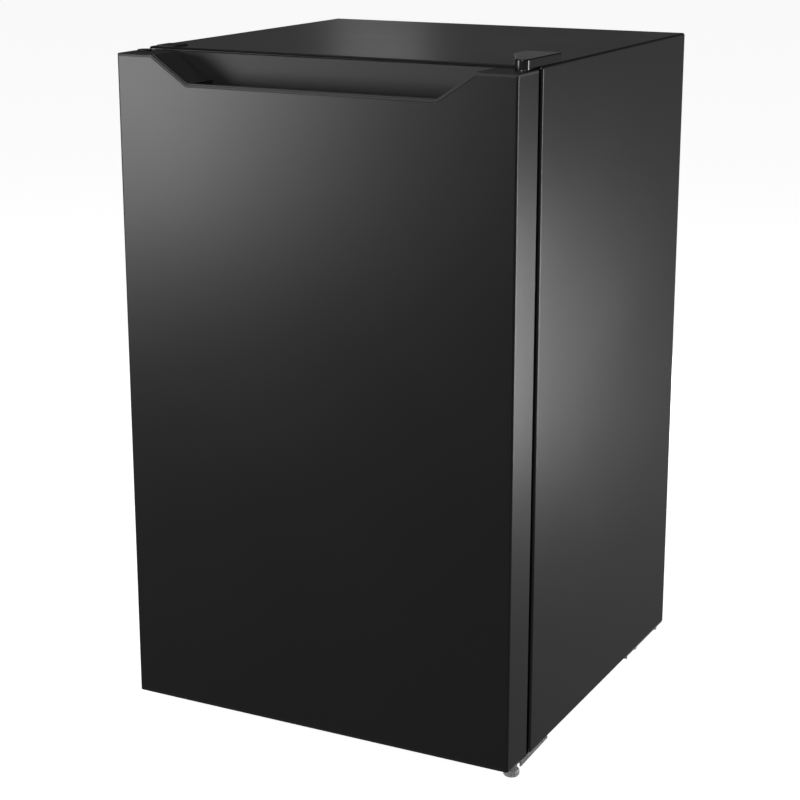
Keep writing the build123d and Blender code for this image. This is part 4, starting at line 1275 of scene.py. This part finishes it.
@dataclass
class CompressorTrim:
    """Weld bead, tube collars, terminal clip and fixed leads of the compressor.

    Each profile is a row of radii and heights in mm; a stub's radii are added to its tube's.
    """

    shop: MeshShop
    flange: float = 3.5 * MM
    bead: float = 1.3 * MM
    bead_points: int = 260
    bead_ripples: int = 65
    bead_ripple: float = 0.16 * MM
    bead_drop: float = 0.4 * MM
    stub_drop: float = 20.0 * MM
    stub_sink: float = 2.0 * MM
    stub_profile: tuple[Pair, ...] = (
        (2.6, 0.0),
        (2.4, 3.0),
        (1.3, 4.2),
        (1.2, 8.0),
        (0.8, 9.2),
        (0.1, 10.0),
    )
    drier_profile: tuple[Pair, ...] = ((4.6, 0.0), (4.2, 2.0), (3.4, 5.0), (2.5, 7.0))
    strap_half: float = 5.0 * MM
    strap_thick: float = 0.8 * MM
    strap_start: float = 16.0 * MM
    lead_radius: float = 1.3 * MM
    lead_shift: float = 1.6 * MM
    middle: Vector = field(init=False)
    reach: Vector = field(init=False)
    seam: float = field(init=False)

    def build(self) -> None:
        """Makes every piece of the compressor's trim."""
        low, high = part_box("compressor_lower_shell")
        self.middle = (low + high) / 2
        self.reach = Vector(((high.x - low.x) / 2, (high.y - low.y) / 2, 0.0))
        self.seam = high.z
        self._bead()
        self._collars()
        self._clip()
        self._leads()

    def _bead(self) -> None:
        """Runs the weld bead round the shell's seam."""
        shape = bmesh.new()
        route = []
        for i in range(self.bead_points):
            turn = math.tau * i / self.bead_points
            ripple = self.bead_ripple * math.sin(turn * self.bead_ripples)
            route.append(
                Vector(
                    (
                        self.middle.x + (self.reach.x + ripple) * math.cos(turn),
                        self.middle.y + (self.reach.y + ripple) * math.sin(turn),
                        self.seam - self.bead_drop,
                    )
                )
            )
        self.shop.tube(shape, route, self.bead, 10, closed=True)
        self.shop.hang("seam_weld_bead", shape, SHELL_ENAMEL, "cabinet", "compressor_paint")

    def _collars(self) -> None:
        """Puts brazed collars where the tubes enter the shell and the drier."""
        shape = bmesh.new()
        shell_x = self.reach.x - self.flange
        shell_y = self.reach.y - self.flange
        level = Vector((self.middle.x, self.middle.y, self.seam - self.stub_drop))
        stubs = (
            (Vector((-shell_x, 0, 0)), Vector((-1, 0, 0)), 3.5),
            (Vector((-0.86 * shell_x, -0.52 * shell_y, 0)), Vector((-0.81, -0.58, 0)), 2.4),
            (Vector((-0.86 * shell_x, 0.52 * shell_y, 0)), Vector((-0.79, 0.61, 0)), 3.0),
        )
        for place, way, tube in stubs:
            profile = [((tube + out) * MM, height * MM) for out, height in self.stub_profile]
            self.shop.lathe(shape, level + place - way * self.stub_sink, way, profile)
        drier_low, drier_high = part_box("filter_drier")
        centre = middle_of("filter_drier")
        profile = [(radius * MM, height * MM) for radius, height in self.drier_profile]
        for foot_z, way in ((drier_low.z, -1.0), (drier_high.z, 1.0)):
            foot = Vector((centre.x, centre.y, foot_z - way * 1.0 * MM))
            self.shop.lathe(shape, foot, Vector((0, 0, way)), profile)
        process_low, process_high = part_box("process_tube")
        end_x, end_y = process_low.x + 3.0 * MM, process_high.y - 3.0 * MM
        self.shop.block(
            shape,
            Vector((end_x - 4.6 * MM, end_y - 1.6 * MM, process_high.z - 11.0 * MM)),
            Vector((end_x + 4.6 * MM, end_y + 1.6 * MM, process_high.z + 0.5 * MM)),
            0.7 * MM,
        )
        self.shop.hang("brazed_collars", shape, COPPER, "cabinet", "copper")

    def _clip(self) -> None:
        """Wraps the spring clip over the terminal cover."""
        low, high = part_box("terminal_cover")
        middle = (low + high) / 2
        shape = bmesh.new()
        strap, thick = self.strap_half, self.strap_thick
        start = low.x + self.strap_start
        for z in (low.z - thick, high.z):
            self.shop.block(
                shape,
                Vector((start, middle.y - strap, z)),
                Vector((high.x + thick, middle.y + strap, z + thick)),
                0.2 * MM,
            )
        self.shop.block(
            shape,
            Vector((high.x, middle.y - strap, low.z - thick)),
            Vector((high.x + thick, middle.y + strap, high.z + thick)),
            0.2 * MM,
        )
        self.shop.hang("terminal_spring_clip", shape, ZINC, "cabinet", "zinc_steel")

    def _leads(self) -> None:
        """Runs the fixed leads from the gland and the earth screw to the terminals."""
        gland = middle_of("cord_gland")
        gland.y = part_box("cord_gland")[0].y
        cover_low, cover_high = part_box("terminal_cover")
        earth = middle_of("earth_screw")
        earth.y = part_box("earth_screw")[0].y
        entry = Vector((cover_high.x - 4 * MM, cover_high.y - 10 * MM, cover_low.z + 14 * MM))
        for name, finish, shift in (
            ("live_lead", LEAD_BROWN, -self.lead_shift),
            ("neutral_lead", LEAD_BLUE, self.lead_shift),
        ):
            shape = bmesh.new()
            side = Vector((shift, 0, 0))
            lift = Vector((0, 0, shift))
            route = [
                gland + side + Vector((0, 3 * MM, 0)),
                gland + side + Vector((0, -6 * MM, 0)),
                gland + side + lift + Vector((-12 * MM, -18 * MM, 6 * MM)),
                gland + lift + Vector((-34 * MM, -30 * MM, 20 * MM)),
                entry + lift + Vector((13 * MM, 6 * MM, -6 * MM)),
                entry + lift + Vector((4 * MM, 0, 0)),
                entry + lift + Vector((-3 * MM, 0, 0)),
            ]
            self.shop.tube(shape, self.shop.eased(route), self.lead_radius)
            self.shop.hang(name, shape, finish, "cabinet", "rubber")
        shape = bmesh.new()
        route = [
            gland + Vector((0, 3 * MM, -2 * MM)),
            gland + Vector((0, -5 * MM, -2 * MM)),
            gland + Vector((-8 * MM, -11 * MM, -3 * MM)),
            earth + Vector((8 * MM, -9 * MM, -2 * MM)),
            earth + Vector((0, -3 * MM, 0)),
            earth + Vector((0, 0.5 * MM, 0)),
        ]
        self.shop.tube(shape, self.shop.eased(route), self.lead_radius)
        route = [
            earth + Vector((0, 0.5 * MM, 0)),
            earth + Vector((-3 * MM, -4 * MM, -2 * MM)),
            earth + Vector((-16 * MM, -12 * MM, -12 * MM)),
            Vector((cover_high.x - 22 * MM, cover_high.y + 6 * MM, cover_low.z - 26 * MM)),
        ]
        self.shop.tube(shape, self.shop.eased(route), self.lead_radius)
        self.shop.hang("earth_lead", shape, LEAD_GREEN, "cabinet", "rubber")
        shape = bmesh.new()
        self.shop.block(
            shape,
            Vector((earth.x - 5 * MM, earth.y - 1.2 * MM, earth.z - 4.5 * MM)),
            Vector((earth.x + 5 * MM, earth.y, earth.z + 4.5 * MM)),
            0.3 * MM,
        )
        self.shop.hang("earth_tag", shape, ZINC, "cabinet", "zinc_steel")


# ---------------------------------------------------------------- freezer and thermostat


@dataclass
class FreezerTrim:
    """Refrigerant channels pressed in the freezer box and ribs on its flap."""

    shop: MeshShop
    channel: float = 2.4 * MM
    pitch: float = 30.0 * MM
    bend: float = 12.0 * MM
    side_margin: float = 26.0 * MM
    front_margin: float = 22.0 * MM
    both_margins: float = 40.0 * MM
    floor_lift: float = 1.0 * MM
    roof_drop: float = 7.0 * MM
    ribs: int = 3
    rib_margin: float = 34.0 * MM
    rib_start: float = 38.0 * MM
    rib_pitch: float = 18.0 * MM
    rib_height: float = 5.0 * MM

    def build(self) -> None:
        """Makes the channels and the ribs."""
        low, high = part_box("evaporator_box")
        shape = bmesh.new()
        left, right = low.x + self.side_margin, high.x - self.side_margin
        lanes = int((high.y - low.y - self.both_margins) / self.pitch)
        for z in (low.z + self.floor_lift, high.z - self.roof_drop):
            points = []
            for lane in range(lanes + 1):
                y = low.y + self.front_margin + lane * self.pitch
                ends = (left, right) if lane % 2 == 0 else (right, left)
                points += [Vector((ends[0], y, z)), Vector((ends[1], y, z))]
            self.shop.tube(shape, self._rounded(points, self.bend), self.channel, 10)
        self.shop.hang(
            "pressed_channels", shape, EVAPORATOR_METAL, "cabinet", "evaporator_aluminium"
        )
        flap_low, flap_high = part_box("freezer_flap")
        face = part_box("freezer_frame")[0].y
        shape = bmesh.new()
        for step in range(self.ribs):
            z = flap_low.z + self.rib_start + step * self.rib_pitch
            self.shop.block(
                shape,
                Vector((flap_low.x + self.rib_margin, face - 0.8 * MM, z)),
                Vector((flap_high.x - self.rib_margin, face + 0.4 * MM, z + self.rib_height)),
                0.38 * MM,
            )
        self.shop.hang("flap_ribs", shape, LINER_PLASTIC, "freezer_flap", "white_plastic")

    @staticmethod
    def _rounded(points: list[Vector], radius: float) -> list[Vector]:
        """Rounds the corners of a route.

        Args:
            points: its corners.
            radius: how far from each corner the bend starts.

        Returns:
            The rounded route's points.
        """
        route = [points[0]]
        for before, corner, after in zip(points, points[1:], points[2:]):
            start = corner + (before - corner).normalized() * radius
            end = corner + (after - corner).normalized() * radius
            for i in range(9):
                t = i / 8
                route.append((1 - t) ** 2 * start + 2 * t * (1 - t) * corner + t**2 * end)
        return [*route, points[-1]]


@dataclass
class DialMarks:
    """Marks round the thermostat's dial and the pointer on its knob."""

    shop: MeshShop
    marks: int = 8
    start: float = -60.0
    sweep: float = 300.0
    inner: float = 21.0 * MM
    outer: float = 25.0 * MM
    thinnest: float = 0.35 * MM
    growth: float = 0.09 * MM
    proud: float = 0.25 * MM
    sunk: float = 0.2 * MM
    pointer_half: float = 0.8 * MM
    pointer_reach: Pair = (7.0 * MM, 16.0 * MM)

    def build(self) -> None:
        """Makes the growing marks and the pointer."""
        centre = middle_of("thermostat_housing")
        centre.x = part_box("thermostat_housing")[0].x
        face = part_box("thermostat_knob")[0].x
        near, far = self.pointer_reach
        shape = bmesh.new()
        for mark in range(self.marks):
            turn = math.radians(self.start + self.sweep * mark / (self.marks - 1))
            width = self.thinnest + mark * self.growth
            way = Vector((0, math.cos(turn), math.sin(turn)))
            side = Vector((0, -math.sin(turn), math.cos(turn)))
            corners = (
                side * width - Vector((self.proud, 0, 0)),
                -side * width - Vector((self.proud, 0, 0)),
                -side * width + Vector((self.sunk, 0, 0)),
                side * width + Vector((self.sunk, 0, 0)),
            )
            rings = [
                [centre + way * out + corner for corner in corners]
                for out in (self.inner, self.outer)
            ]
            self.shop.loft(shape, rings)
        self.shop.hang("dial_marks", shape, DIAL_INK, "cabinet", "black_plastic")
        shape = bmesh.new()
        self.shop.block(
            shape,
            Vector((face - 0.15 * MM, centre.y - self.pointer_half, centre.z + near)),
            Vector((face + 0.5 * MM, centre.y + self.pointer_half, centre.z + far)),
            0.12 * MM,
        )
        self.shop.hang("knob_pointer", shape, DIAL_INK, "thermostat_knob", "black_plastic")


def main() -> None:
    """Builds the studio and the refrigerator's looks in order."""
    logging.basicConfig(level=logging.INFO, format="%(name)s: %(message)s")
    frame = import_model()
    Studio().build()
    FrameDress(frame).build()
    shop = MeshShop()
    for assembly in (DoorSeal, GrippedFeet, RearFixings, CompressorTrim, FreezerTrim, DialMarks):
        assembly(shop).build()


if __name__ == "__main__":
    main()
